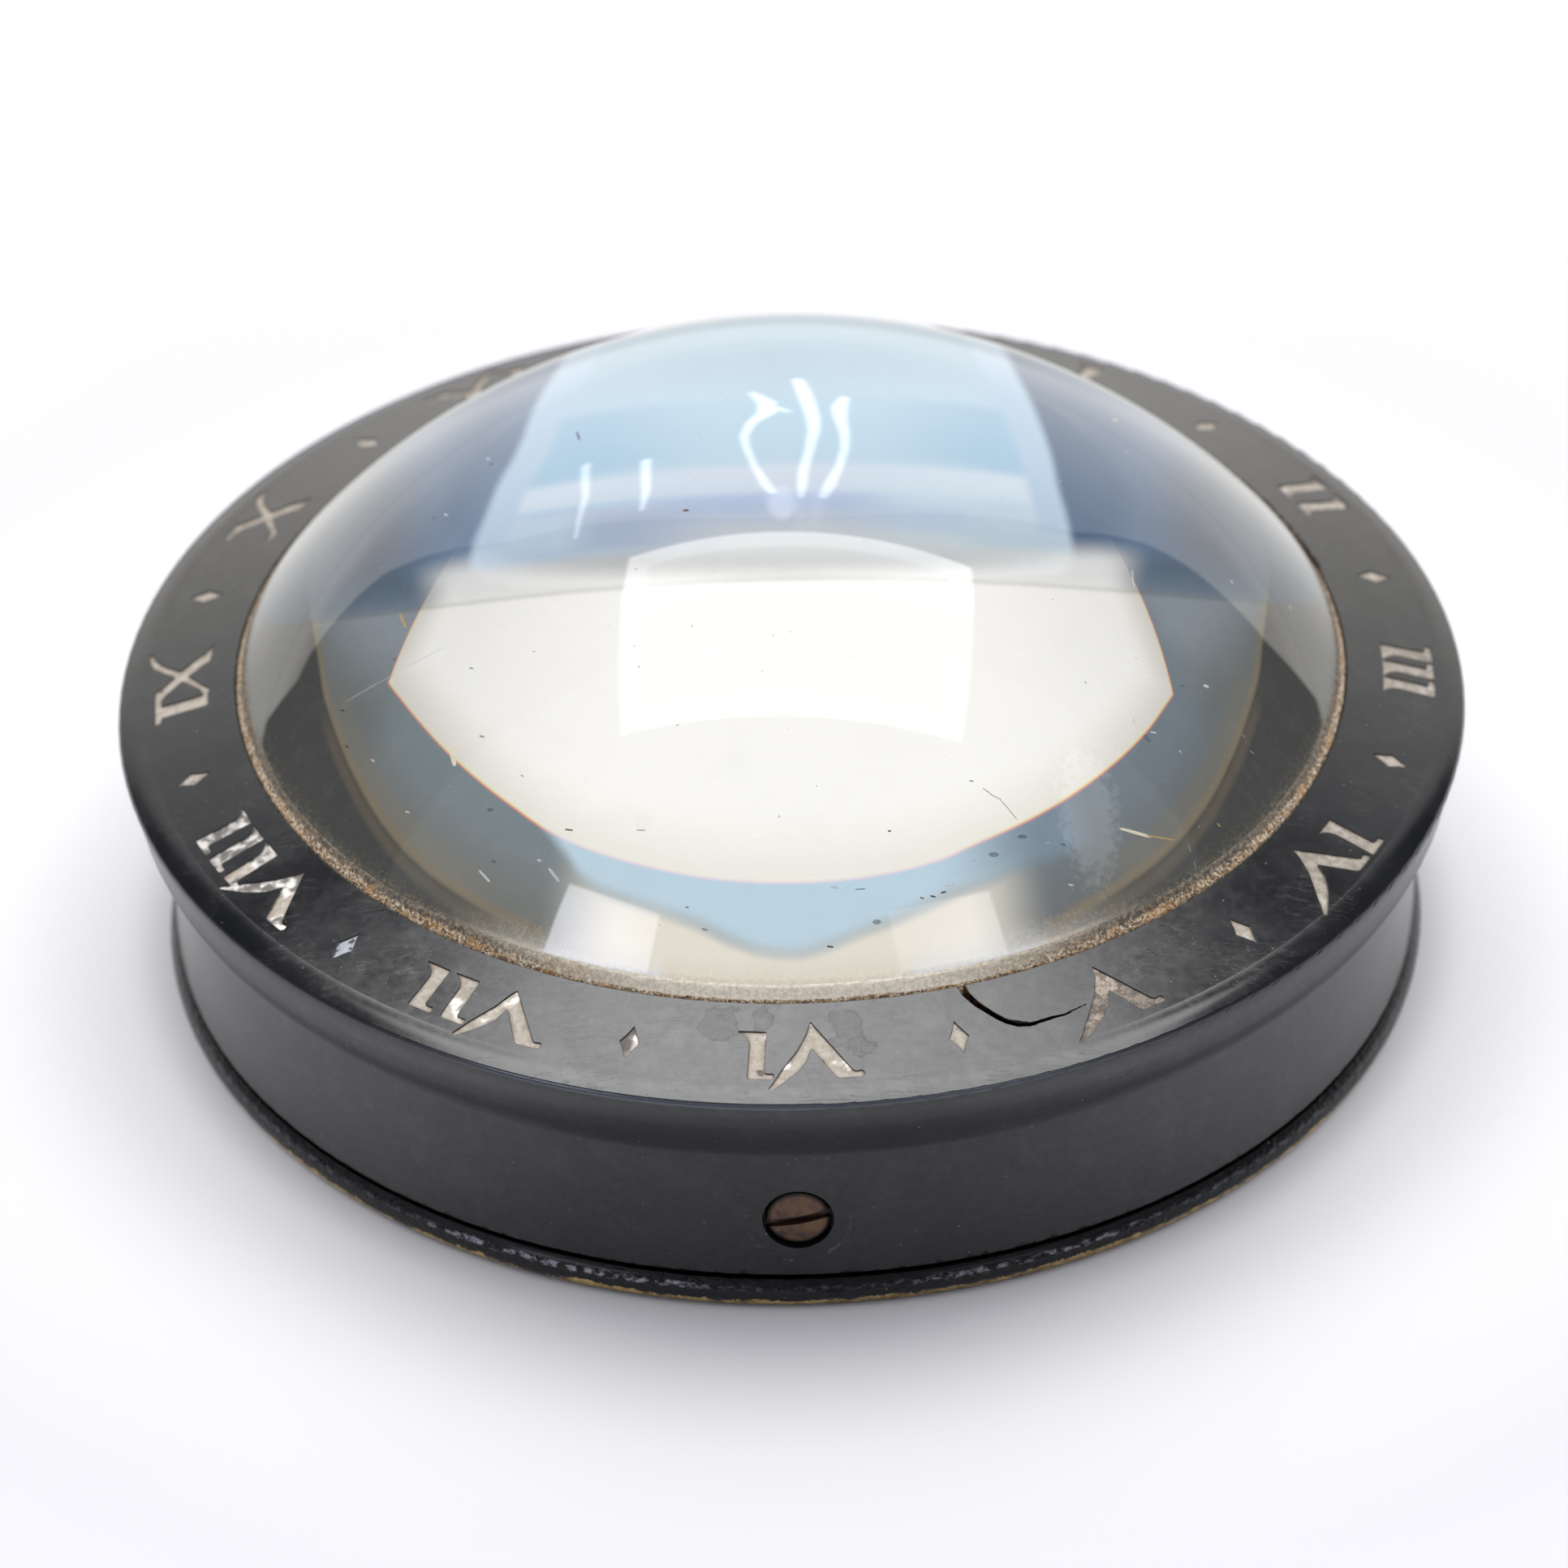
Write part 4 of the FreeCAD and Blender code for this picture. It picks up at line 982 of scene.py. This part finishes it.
def ground_edge():
    material, tree, point, surface = new_material("ground_glass_edge")
    grain = noise_at(point, 6.0, 3.0, 0.7)
    x, y, _ = split(point)
    front = rise(y * -1.0 / hypot(x, y), 0.78, 1.0)
    # painted light: the ground edge is pale at the front, dark at the sides
    colour = mix(rise(grain, 0.4, 0.65), mix(front, (0.09, 0.085, 0.075), (0.62, 0.57, 0.47)),
                 mix(front, (0.26, 0.23, 0.18), (0.80, 0.74, 0.62)))
    feed(surface, principled(tree, Base_Color=colour, Roughness=0.6,
                             Normal=bump(grain, 0.00005, 0.6)))
    return material


# ------------------------------------------------------------------ turned pieces


def revolve(name, profile, segments, slots=None, closed=True, lift=None):
    """Turns the profile [(r, z)] round +Z; r = 0 makes one pole vertex.

    slots gives a material index per profile step, lift(x, y, z, row) an added height."""
    verts, rows = [], []
    for index, (r, z) in enumerate(profile):
        row = []
        for k in range(segments if r else 1):
            angle = k * 2 * math.pi / segments
            x, y = r * math.cos(angle), r * math.sin(angle)
            height = z + lift(x, y, z, index) if lift else z
            row.append(len(verts))
            verts.append((x * MM, y * MM, height * MM))
        rows.append(row)
    faces, indices = [], []
    count = len(profile)
    for i in range(count if closed else count - 1):
        a, b = rows[i], rows[(i + 1) % count]
        for k in range(segments):
            following = (k + 1) % segments
            if len(a) == 1:
                faces.append((a[0], b[k], b[following]))
            elif len(b) == 1:
                faces.append((a[k], b[0], a[following]))
            else:
                faces.append((a[k], b[k], b[following], a[following]))
            indices.append(slots[i] if slots else 0)
    mesh = bpy.data.meshes.new(name)
    mesh.from_pydata(verts, [], faces)
    mesh.update()
    for polygon, index in zip(mesh.polygons, indices):
        polygon.material_index = index
        polygon.use_smooth = True
    made = bpy.data.objects.new(name, mesh)
    scene.collection.objects.link(made)
    face_outward(mesh)
    return made


def face_outward(mesh):
    edit = bmesh.new()
    edit.from_mesh(mesh)
    bmesh.ops.recalc_face_normals(edit, faces=edit.faces)
    edit.to_mesh(mesh)
    edit.free()


low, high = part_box("dome_lens")
LENS_TOP, LENS_FOOT, LENS_RADIUS = high.z / MM, low.z / MM, high.x / MM
SPHERE_RADIUS = 46.97
SPHERE_Z = LENS_TOP - SPHERE_RADIUS  # height of the dome's centre of curvature
LENS_EDGE_Z = SPHERE_Z + math.sqrt(SPHERE_RADIUS * SPHERE_RADIUS - LENS_RADIUS * LENS_RADIUS)
DOME_RINGS = 150


def build_dome():
    """The lens: pole, dome, ground edge, flat foot."""
    edge_angle = math.asin((LENS_RADIUS - 0.06) / SPHERE_RADIUS)
    profile = [(0.0, LENS_TOP)]
    for i in range(1, DOME_RINGS + 1):
        angle = edge_angle * i / DOME_RINGS
        profile.append((SPHERE_RADIUS * math.sin(angle),
                        SPHERE_Z + SPHERE_RADIUS * math.cos(angle)))
    edge = [
        (LENS_RADIUS - 0.02, LENS_EDGE_Z - 0.02),
        (LENS_RADIUS, LENS_EDGE_Z - 0.08),
        (LENS_RADIUS, (LENS_EDGE_Z + LENS_FOOT) / 2),
        (LENS_RADIUS, LENS_FOOT + 0.08),
        (LENS_RADIUS - 0.02, LENS_FOOT + 0.02),
        (LENS_RADIUS - 0.08, LENS_FOOT)]
    foot = [(r, LENS_FOOT) for r in (36.0, 30.0, 22.0, 14.0, 7.0, 0.0)]
    slots = [0] * DOME_RINGS + [1] * len(edge) + [2] * len(foot)
    dome = revolve("glass_dome", profile + edge + foot, 360, slots, closed=False)
    dome.data.materials.append(dome_glass())
    dome.data.materials.append(ground_edge())
    dome.data.materials.append(base_glass())
    dome.data.set_sharp_from_angle(angle=math.radians(20))
    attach(dome, "magnifier")
    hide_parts("dome_lens")


def build_cement():
    """Bedding cement: a granular fillet between the glass edge and the bore."""
    low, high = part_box("lens_cement")
    outer, foot = high.x / MM - 0.01, low.z / MM
    bore_top = 21.80
    # (radius, z, weight of the grain)
    stations = [
        (LENS_RADIUS + 0.01, foot, 0.0),
        (LENS_RADIUS + 0.01, LENS_EDGE_Z - 0.35, 0.0),
        (LENS_RADIUS - 0.14, LENS_EDGE_Z + 0.215, 0.25),
        (LENS_RADIUS + 0.02, LENS_EDGE_Z + 0.05, 0.6),
        (LENS_RADIUS + 0.12, LENS_EDGE_Z - 0.14, 1.0),
        (LENS_RADIUS + 0.23, LENS_EDGE_Z - 0.36, 1.0),
        (LENS_RADIUS + 0.34, bore_top + 0.14, 1.0),
        (outer, bore_top - 0.02, 0.3),
        (outer, foot, 0.0)]

    def grain(x, y, z, scale):
        return noise.noise(Vector((x * scale, y * scale, z * scale)))

    def lift(x, y, z, row):
        grains = grain(x, y, 3.0, 0.22) * 0.12 + grain(x, y, z, 1.6) * 0.10
        return stations[row][2] * (grains + grain(x, y, z, 5.5) * 0.07)

    cement = revolve("cement_fillet", [(r, z) for r, z, _ in stations], 1600, lift=lift)
    cement.data.materials.append(golden_cement())
    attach(cement, "magnifier")
    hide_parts("lens_cement")


build_dome()
build_cement()

# ------------------------------------------------------------------ flecks on the glass

# both ends of each fleck (x, y, z, x, y, z), its width and its kind
FLECKS = [
    (-6.94, -7.55, 40.39, -6.72, -7.59, 40.41, 0.22, "brown"),
    (-26.42, -8.06, 32.54, -26.0, -9.52, 32.49, 0.198, "gold"),
    (-22.82, -20.39, 30.18, -22.6, -21.47, 29.68, 0.382, "cream"),
    (-30.29, -12.31, 28.27, -26.54, -12.87, 31.1, 0.072, "thread"),
    (-26.43, -12.82, 31.2, -23.22, -12.96, 33.26, 0.049, "thread"),
    (22.05, -26.13, 26.76, 23.97, -25.69, 25.72, 0.218, "cream"),
    (23.86, -25.7, 25.8, 25.62, -25.03, 24.93, 0.131, "gold"),
    (-20.94, -28.24, 25.7, -20.29, -29.03, 25.4, 0.174, "pale"),
    (-16.21, -29.88, 26.96, -15.62, -30.62, 26.55, 0.206, "pale"),
    (23.86, -19.88, 29.78, 24.08, -19.98, 29.58, 0.328, "ring"),
    (13.27, -30.32, 27.88, 13.65, -30.23, 27.81, 0.325, "ring"),
    (15.2, -28.92, 28.29, 15.58, -28.82, 28.21, 0.298, "ring"),
    (5.45, -34.71, 25.72, 5.72, -34.69, 25.7, 0.324, "ring"),
    (6.48, -30.23, 29.91, 6.58, -30.22, 29.9, 0.135, "dark"),
    (-20.29, -25.26, 28.56, -20.07, -25.35, 28.62, 0.272, "ring"),
    (-16.97, -29.19, 27.2, -16.81, -29.24, 27.24, 0.163, "pale"),
    (-20.05, -28.11, 26.4, -19.89, -28.21, 26.41, 0.217, "ring"),
    (12.82, -26.88, 30.87, 13.51, -27.17, 30.4, 0.076, "olive"),
    (13.41, -27.15, 30.46, 14.0, -27.23, 30.17, 0.076, "olive"),
    (13.94, -27.25, 30.18, 14.48, -27.6, 29.69, 0.07, "olive"),
    (14.37, -27.54, 29.78, 15.06, -28.06, 29.07, 0.07, "olive"),
    (28.05, -13.84, 29.59, 28.27, -13.75, 29.45, 0.22, "pale"),
    (26.36, -14.96, 30.43, 26.64, -14.78, 30.29, 0.187, "ring"),
    (-14.31, 3.78, 39.13, -14.13, 2.7, 39.26, 0.178, "violet"),
    (-24.28, 0.35, 34.76, -24.1, -0.2, 34.86, 0.222, "ring"),
    (-23.42, -0.21, 35.26, -23.25, -0.45, 35.36, 0.166, "pale"),
    (-20.32, 3.6, 36.74, -20.09, 3.41, 36.87, 0.278, "ring"),
    (-20.56, 4.6, 36.53, -20.39, 4.33, 36.64, 0.167, "pale"),
    (22.53, 11.52, 34.12, 22.88, 11.84, 33.83, 0.168, "cream"),
    (23.24, 6.63, 34.83, 23.4, 6.55, 34.74, 0.123, "pale"),
    (30.24, -2.75, 30.38, 30.35, -2.9, 30.28, 0.133, "pale"),
    (34.3, -0.47, 26.64, 34.46, -0.61, 26.46, 0.123, "pale"),
    (30.87, 13.14, 27.42, 30.91, 12.82, 27.51, 0.113, "pale"),
    (-6.0, 0.72, 41.13, -5.55, -0.64, 41.19, 0.055, "thread"),
    (-7.77, 1.37, 40.85, -6.99, 0.76, 40.99, 0.044, "thread"),
    (23.35, -7.26, 34.65, 23.36, -8.59, 34.38, 0.088, "pale"),
    (23.37, -8.44, 34.41, 23.47, -8.67, 34.3, 0.132, "pale"),
    (24.26, -19.36, 29.8, 24.59, -19.24, 29.64, 0.109, "pale"),
    (23.07, -19.11, 30.73, 23.17, -19.39, 30.52, 0.142, "pale"),
    (-15.09, -28.17, 28.97, -14.65, -28.34, 29.02, 0.119, "dark"),
    (-10.3, -29.39, 29.71, -9.75, -29.5, 29.78, 0.108, "grey"),
    (11.96, -26.65, 31.33, 12.17, -26.65, 31.26, 0.087, "dark"),
    (-20.82, -20.57, 31.28, -20.6, -20.73, 31.32, 0.185, "ring"),
    (-21.54, -15.51, 33.3, -21.32, -15.68, 33.36, 0.088, "dark"),
    (-17.21, -16.28, 35.11, -17.1, -16.32, 35.14, 0.109, "grey"),
    (-18.07, -24.12, 30.58, -17.91, -24.28, 30.55, 0.109, "grey"),
    (-30.15, -15.57, 27.03, -29.98, -15.82, 27.07, 0.121, "dark"),
    (-30.51, -12.68, 27.93, -30.28, -12.94, 28.04, 0.132, "dark"),
    (-26.89, -11.52, 31.3, -26.66, -11.75, 31.39, 0.154, "ring"),
    (26.62, -24.71, 24.33, 26.77, -25.06, 23.9, 0.055, "thread"),
    (26.98, -25.45, 23.37, 27.13, -25.69, 23.01, 0.055, "thread"),
    (30.53, -15.53, 26.69, 30.75, -15.58, 26.45, 0.055, "thread"),
    (31.06, -16.23, 25.82, 31.34, -16.23, 25.55, 0.055, "thread"),
    (18.46, -30.34, 25.29, 18.73, -30.29, 25.18, 0.141, "pale"),
    (18.02, -28.46, 27.28, 18.24, -28.43, 27.19, 0.174, "ring"),
    (16.93, -28.76, 27.6, 17.26, -28.62, 27.55, 0.065, "thread"),
    (9.21, -33.09, 26.59, 9.48, -33.09, 26.51, 0.13, "dark"),
    (8.51, -33.27, 26.6, 8.72, -33.27, 26.53, 0.108, "dark"),
    (9.92, -32.83, 26.65, 10.19, -32.74, 26.65, 0.13, "dark"),
    (2.29, -35.95, 24.69, 2.62, -35.97, 24.64, 0.13, "dark"),
    (-6.0, -34.85, 25.46, -5.73, -34.92, 25.44, 0.173, "ring"),
    (-7.11, -33.72, 26.46, -6.95, -33.75, 26.47, 0.097, "dark"),
    (-25.96, -22.55, 26.55, -25.74, -22.72, 26.6, 0.109, "pale"),
    (-28.32, -17.85, 27.5, -28.15, -18.07, 27.52, 0.099, "pale"),
    (10.09, -32.49, 26.93, 10.79, -32.29, 26.9, 0.059, "thread"),
    (2.63, -33.27, 27.6, 3.01, -33.29, 27.54, 0.162, "pale"),
    (4.19, -33.31, 27.4, 4.84, -33.23, 27.39, 0.065, "dark"),
    (28.66, -22.39, 24.27, 28.82, -22.42, 24.09, 0.099, "gold"),
    (26.17, -19.52, 28.32, 26.28, -19.56, 28.21, 0.098, "pale"),
]

# kind: (colour, roughness, cover)
FLECK_KINDS = {
    "brown": ((0.060, 0.022, 0.012), 0.6, 1.0),
    "gold": ((0.62, 0.42, 0.17), 0.5, 0.75),
    "cream": ((0.98, 0.90, 0.66), 0.5, 0.85),
    "thread": ((0.62, 0.62, 0.60), 0.6, 0.55),
    "pale": ((0.80, 0.82, 0.86), 0.5, 0.65),
    "ring": ((0.13, 0.15, 0.18), 0.3, 0.40),
    "dark": ((0.045, 0.045, 0.045), 0.5, 0.7),
    "olive": ((0.42, 0.38, 0.27), 0.6, 0.55),
    "violet": ((0.16, 0.14, 0.30), 0.5, 0.65),
    "grey": ((0.45, 0.44, 0.42), 0.6, 0.5),
}
FLECK_SIDES = 12
FLECK_HEIGHT = 0.012  # of the outline above the glass
RANDOM_FLECKS = 95


def fleck_material(name, base, roughness, cover):
    material, tree, point, surface = new_material("fleck_" + name)
    colour = mix(noise_at(point, 6.0), base, tuple(channel * 0.8 for channel in base))
    shader = principled(tree, Base_Color=colour, Roughness=roughness)
    if cover < 1.0:
        shader = mix_shader(cover, result(tree, "ShaderNodeBsdfTransparent"), shader)
    feed(surface, shader)
    return material


def random_flecks():
    rng = random.Random(440)
    made = []
    for _ in range(RANDOM_FLECKS):
        angle = rng.uniform(0.0, 2.0 * math.pi)
        r = LENS_RADIUS * math.sqrt(rng.uniform(0.02, 0.93))
        width = rng.choice((0.05, 0.06, 0.08, 0.10))
        x, y = r * math.cos(angle), r * math.sin(angle)
        z = SPHERE_Z + math.sqrt(SPHERE_RADIUS * SPHERE_RADIUS - r * r)
        heading = rng.uniform(0.0, 6.283)
        length = width * rng.uniform(0.2, 1.6)
        kind = rng.choice(("pale", "pale", "grey", "ring", "thread"))
        made.append((x, y, z, x + length * math.cos(heading), y + length * math.sin(heading), z,
                     width, kind))
    return made


def build_flecks():
    """Each fleck is a thin lens-shaped solid lying on the dome."""
    materials = [fleck_material(name, *look) for name, look in FLECK_KINDS.items()]
    kinds = list(FLECK_KINDS)
    centre = Vector((0, 0, SPHERE_Z))
    outline_radius = SPHERE_RADIUS + FLECK_HEIGHT
    verts, faces, indices = [], [], []
    for x1, y1, z1, x2, y2, z2, width, kind in FLECKS + random_flecks():
        start, end = Vector((x1, y1, z1)), Vector((x2, y2, z2))
        normal = ((start + end) / 2 - centre).normalized()
        middle = centre + normal * outline_radius
        along = end - start
        along = along - normal * along.dot(normal)
        half = along.length / 2 + width / 2
        along = along.normalized()
        across = normal.cross(along)
        # long flecks have blunt ends
        blunt = half > width * 1.6 and kind != "thread"
        first = len(verts)
        for i in range(FLECK_SIDES):
            angle = 2 * math.pi * i / FLECK_SIDES
            reach = abs(math.cos(angle)) ** (0.45 if blunt else 1.0)
            reach = math.copysign(reach, math.cos(angle))
            corner = middle + along * (half * reach) + across * (width / 2 * math.sin(angle))
            corner = centre + (corner - centre).normalized() * outline_radius
            verts.append(tuple(corner * MM))
        verts.append(tuple((middle + normal * 0.012) * MM))
        verts.append(tuple((middle - normal * 0.010) * MM))
        top = first + FLECK_SIDES
        for i in range(FLECK_SIDES):
            j = (i + 1) % FLECK_SIDES
            faces.append((first + i, first + j, top))
            faces.append((first + j, first + i, top + 1))
            indices += [kinds.index(kind)] * 2
    mesh = bpy.data.meshes.new("glass_flecks")
    mesh.from_pydata(verts, [], faces)
    mesh.update()
    for polygon, index in zip(mesh.polygons, indices):
        polygon.material_index = index
    made = bpy.data.objects.new("glass_flecks", mesh)
    scene.collection.objects.link(made)
    for material in materials:
        mesh.materials.append(material)
    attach(made, "magnifier")


build_flecks()

# ------------------------------------------------------------------ finishes on the CAD pieces

# numeral: (silver, rubbed out, dull) shares of its filler
NUMERALS = {
    1: (0.3, 0.2, 0.35), 2: (0.75, 0.35, 0.25), 3: (0.3, 0.25, 0.35), 4: (0.25, 0.2, 0.38),
    5: (0.2, 0.3, 0.95), 6: (0.25, 0.35, 0.0), 7: (0.3, 0.2, 0.10), 8: (0.8, 0.1, 0.0),
    9: (0.25, 0.15, 0.15), 10: (0.2, 0.2, 0.3), 11: (0.2, 0.2, 0.35), 12: (0.2, 0.2, 0.35),
}


def give(name, material):
    slots = nodes[name].data.materials
    slots.clear()
    slots.append(material)


give("bezel_ring", ebonite())
give("base_ring", brass_lacquer())
for i, place in enumerate(("front", "right", "left")):
    give("side_screw_" + place, bronze(i))
for i, (silver, gone, dull) in NUMERALS.items():
    give("numeral_%02d" % i, filler("filler_%02d" % i, silver, gone, i * 7.3, dull))
give("lozenge_inlays", filler("filler_lozenges", silver=0.35, gone=0.25, seed=3.3, dull=0.12,
                              lozenges=True))

# ------------------------------------------------------------------ floor

FLOOR_RADII = [0.0, 10.0, 20.0, 30.0, 36.0, 40.0, 50.0, 80.0, 200.0, 600.0, 1500.0, 4000.0]
# half width of the lit patch under the glass against y, left and right
PATCH_LEFT = [(24.0, 12.1), (24.5, 11.83), (24.9, 11.48), (25.97, 10.73), (26.93, 9.91),
              (28.3, 8.92), (29.32, 7.83), (31.0, 6.3)]
PATCH_RIGHT = [(24.0, 10.6), (24.85, 10.30), (25.74, 9.85), (26.66, 9.48), (28.05, 8.64),
               (29.11, 7.72), (31.0, 6.0)]
# red, green and blue of the patch against the steepness of view
STEEPNESS = (0.15, 0.20, 0.23, 0.26, 0.29, 0.316, 0.35, 0.387, 0.41, 0.43, 0.48)
LEFT_TONE = (
    (0.760, 0.720, 0.690, 0.600, 0.505, 0.485, 0.475, 0.520, 0.55, 0.690, 0.71),
    (0.760, 0.730, 0.710, 0.690, 0.595, 0.570, 0.555, 0.610, 0.70, 0.800, 0.81),
    (0.755, 0.740, 0.730, 0.800, 0.750, 0.730, 0.720, 0.770, 0.87, 0.915, 0.92))
MIDDLE_TONE = (
    (0.770, 0.725, 0.730, 0.745, 0.700, 0.650, 0.560, 0.500, 0.60, 0.705, 0.72),
    (0.770, 0.735, 0.745, 0.765, 0.745, 0.715, 0.640, 0.600, 0.70, 0.800, 0.81),
    (0.765, 0.745, 0.755, 0.785, 0.795, 0.790, 0.780, 0.820, 0.88, 0.915, 0.92))
RIGHT_TONE = (
    (0.770, 0.770, 0.785, 0.740, 0.690, 0.610, 0.585, 0.640, 0.67, 0.710, 0.72),
    (0.780, 0.795, 0.830, 0.830, 0.790, 0.730, 0.700, 0.760, 0.80, 0.825, 0.82),
    (0.795, 0.825, 0.850, 0.870, 0.870, 0.865, 0.860, 0.880, 0.91, 0.925, 0.93))


def light_under_glass(tree, x, y):
    """Painted light and shade under the lens, given as emission; it changes with how steeply it
    is looked at.
    """
    incoming = result(tree, "ShaderNodeNewGeometry", output="Incoming")
    steep = split(incoming)[2]
    aside = abs(x)
    half = blend(rise(x, -0.5, 0.5), curve(limit(y, 24.0, 31.0), PATCH_LEFT),
                 curve(limit(y, 24.0, 31.0), PATCH_RIGHT))
    inside = rise(half - aside, -0.10, 0.13)
    bounded = limit(steep, 0.15, 0.48)
    shifted_x = x + split(incoming)[0] / larger(steep, 0.02) * 1.4
    left, middle, right = [
        rgb(*[curve(bounded, list(zip(STEEPNESS, channel))) for channel in tone])
        for tone in (LEFT_TONE, MIDDLE_TONE, RIGHT_TONE)]
    # the violet stretch fades to light blue at both ends
    violet = window(steep, 0.235, 0.30, 0.385, 0.41)
    shallow = layered(
        left,
        (rise(x, -6.4, -2.0), middle),
        (rise(x, 1.2, 5.2), right),
        (violet * rise(x, 5.6, 7.4), (0.62, 0.75, 0.86)),
        (violet * rise(x * -1.0, 6.8, 8.8), (0.58, 0.715, 0.86)))
    upper = layered(
        mix(rise(aside, 4.0, 9.0), (0.585, 0.750, 0.870), (0.52, 0.70, 0.85)),
        (rise(steep, 0.64, 0.82), (0.46, 0.615, 0.745)))
    # a bowed panel of painted shade inside the patch
    panel_back = 28.85 - x * x * 0.0135
    panel_front = 27.20 - x * x * 0.0135
    panel_colour = mix(rise(aside, 2.0, 8.0), (0.560, 0.745, 0.880), (0.425, 0.625, 0.805))
    panel = rise(half - 1.08 - aside, -0.10, 0.10)
    panel_mask = panel * rise(panel_back - y, -0.05, 0.05)
    panel_mask = panel_mask * rise(y - panel_front, -0.16, 0.16) * rise(steep, 0.44, 0.48)
    patch = layered(
        mix(rise(steep, 0.47, 0.50), shallow, upper),
        (panel_mask, panel_colour),
        ((1.0 - panel) * rise(steep, 0.30, 0.36), (0.52, 0.67, 0.83)))
    # round the patch is painted shade, but for a pale stretch of painted light at flat views
    border = fall(aside - half, 0.0, 1.6) * 0.55 * fall(x, -2.0, 2.0)
    lit = rise(0.280 - steep, -0.05, 0.05) * rise(shifted_x, -16.1, -14.1)
    dark = layered(
        mix(rise(aside, 12.5, 16.0), (0.105, 0.170, 0.280), (0.070, 0.090, 0.128)),
        (fall(steep, 0.22, 0.32) * 0.8, (0.045, 0.085, 0.135)),
        (border, (0.185, 0.270, 0.42)),
        (lit * fall(shifted_x, 13.1, 15.1), (0.66, 0.67, 0.68)))
    return mix(inside, dark, patch)


def paper_floor():
    material, tree, point, surface = new_material("paper_floor")
    x, y, _ = split(point)
    radius = hypot(x, y)
    soft = noise_at(point, 0.006, 3.0, 0.5)
    marks = scratches(point, scale=0.09, angle=30.0, thin=0.004, stretch=24.0,
                      where=(0.02, 0.5, 0.6), seed=2.0)
    spots = specks(point, scale=0.09, core=0.010, rim=0.022, where=(0.03, 0.5, 0.6))
    aside = abs(x)
    # painted light: the paper is lighter towards the back and at the sides
    white = 0.945 + rise(y, 60.0, 420.0) * 0.035 + rise(abs(x), 42.0, 80.0) * 0.02
    white = white + (soft - 0.5) * 0.02 - marks * 0.03 - spots * 0.06
    # painted lift: makes the shadow beside the object lighter than the lights here give
    lift = 0.05 + rise(aside / larger(radius, 1.0), 0.05, 0.95) * 0.185
    lift = lift * fall(radius, 54.0, 80.0) * rise(radius, 42.5, 47.5)
    paper = result(tree, "ShaderNodeAddShader", (
        result(tree, "ShaderNodeBsdfDiffuse", (rgb(white, white, white),)),
        result(tree, "ShaderNodeEmission", (rgb(lift, lift, lift * 0.985),))))
    under = result(tree, "ShaderNodeEmission", (light_under_glass(tree, x, y),))
    feed(surface, mix_shader(fall(radius, 35.6, 36.3), paper, under))
    material.cycles.emission_sampling = "NONE"
    return material


def build_floor():
    floor = revolve("floor", [(r, 0.0) for r in FLOOR_RADII], 96, closed=False)
    # an open disc has no outside of its own, so it may still face down
    if floor.data.polygons[0].normal.z < 0:
        floor.data.flip_normals()
    floor.data.materials.append(paper_floor())


build_floor()

# ------------------------------------------------------------------ light, camera, render


def build_light():
    light = bpy.data.lights.new("overhead_softbox", "AREA")
    light.shape = "RECTANGLE"
    light.size, light.size_y = 0.9, 0.7
    light.energy = 3.8
    light.color = (1.0, 0.975, 0.90)
    softbox = bpy.data.objects.new("overhead_softbox", light)
    scene.collection.objects.link(softbox)
    softbox.location = (0.03, 0.30, 1.15)
    to_origin = -Vector((0.03, 0.30, 1.15))
    softbox.rotation_euler = to_origin.to_track_quat("-Z", "Y").to_euler()
    softbox.visible_camera = False
    softbox.visible_glossy = False
    softbox.visible_transmission = False


def build_camera():
    right = Vector((0.999845, -0.005726, -0.016669))
    up = Vector((0.016833, 0.590614, 0.806778))
    forward = Vector((-0.005225, 0.806934, -0.590619))
    position = Vector((3.870231, -694.747254, 520.319781)) * MM
    focus = Vector((0.0, -36.0, 22.0)) * MM
    data = bpy.data.cameras.new("camera")
    camera = bpy.data.objects.new("camera", data)
    scene.collection.objects.link(camera)
    scene.camera = camera
    pose = Matrix((right, up, -forward)).transposed().to_4x4()
    pose.translation = position
    camera.matrix_world = pose
    data.sensor_width = 36.0
    data.lens = 284.632733
    data.clip_start = 0.05
    data.clip_end = 20.0
    data.dof.use_dof = True
    data.dof.focus_distance = (focus - position).dot(forward)
    # the focus stays on the object wherever the camera is put
    mark = bpy.data.objects.new("focus_mark", None)
    scene.collection.objects.link(mark)
    mark.location = focus
    data.dof.focus_object = mark
    data.dof.aperture_fstop = 36.0


def set_render():
    view = scene.view_settings
    view.view_transform = "Standard"
    view.look = "None"
    view.exposure = 0.0
    view.gamma = 1.0
    cycles = scene.cycles
    cycles.max_bounces = 12
    cycles.transmission_bounces = 10
    cycles.transparent_max_bounces = 12
    cycles.glossy_bounces = 6
    cycles.diffuse_bounces = 4
    cycles.caustics_reflective = False
    cycles.caustics_refractive = True
    cycles.use_denoising = True
    cycles.sample_clamp_indirect = 8.0


build_light()
build_camera()
set_render()
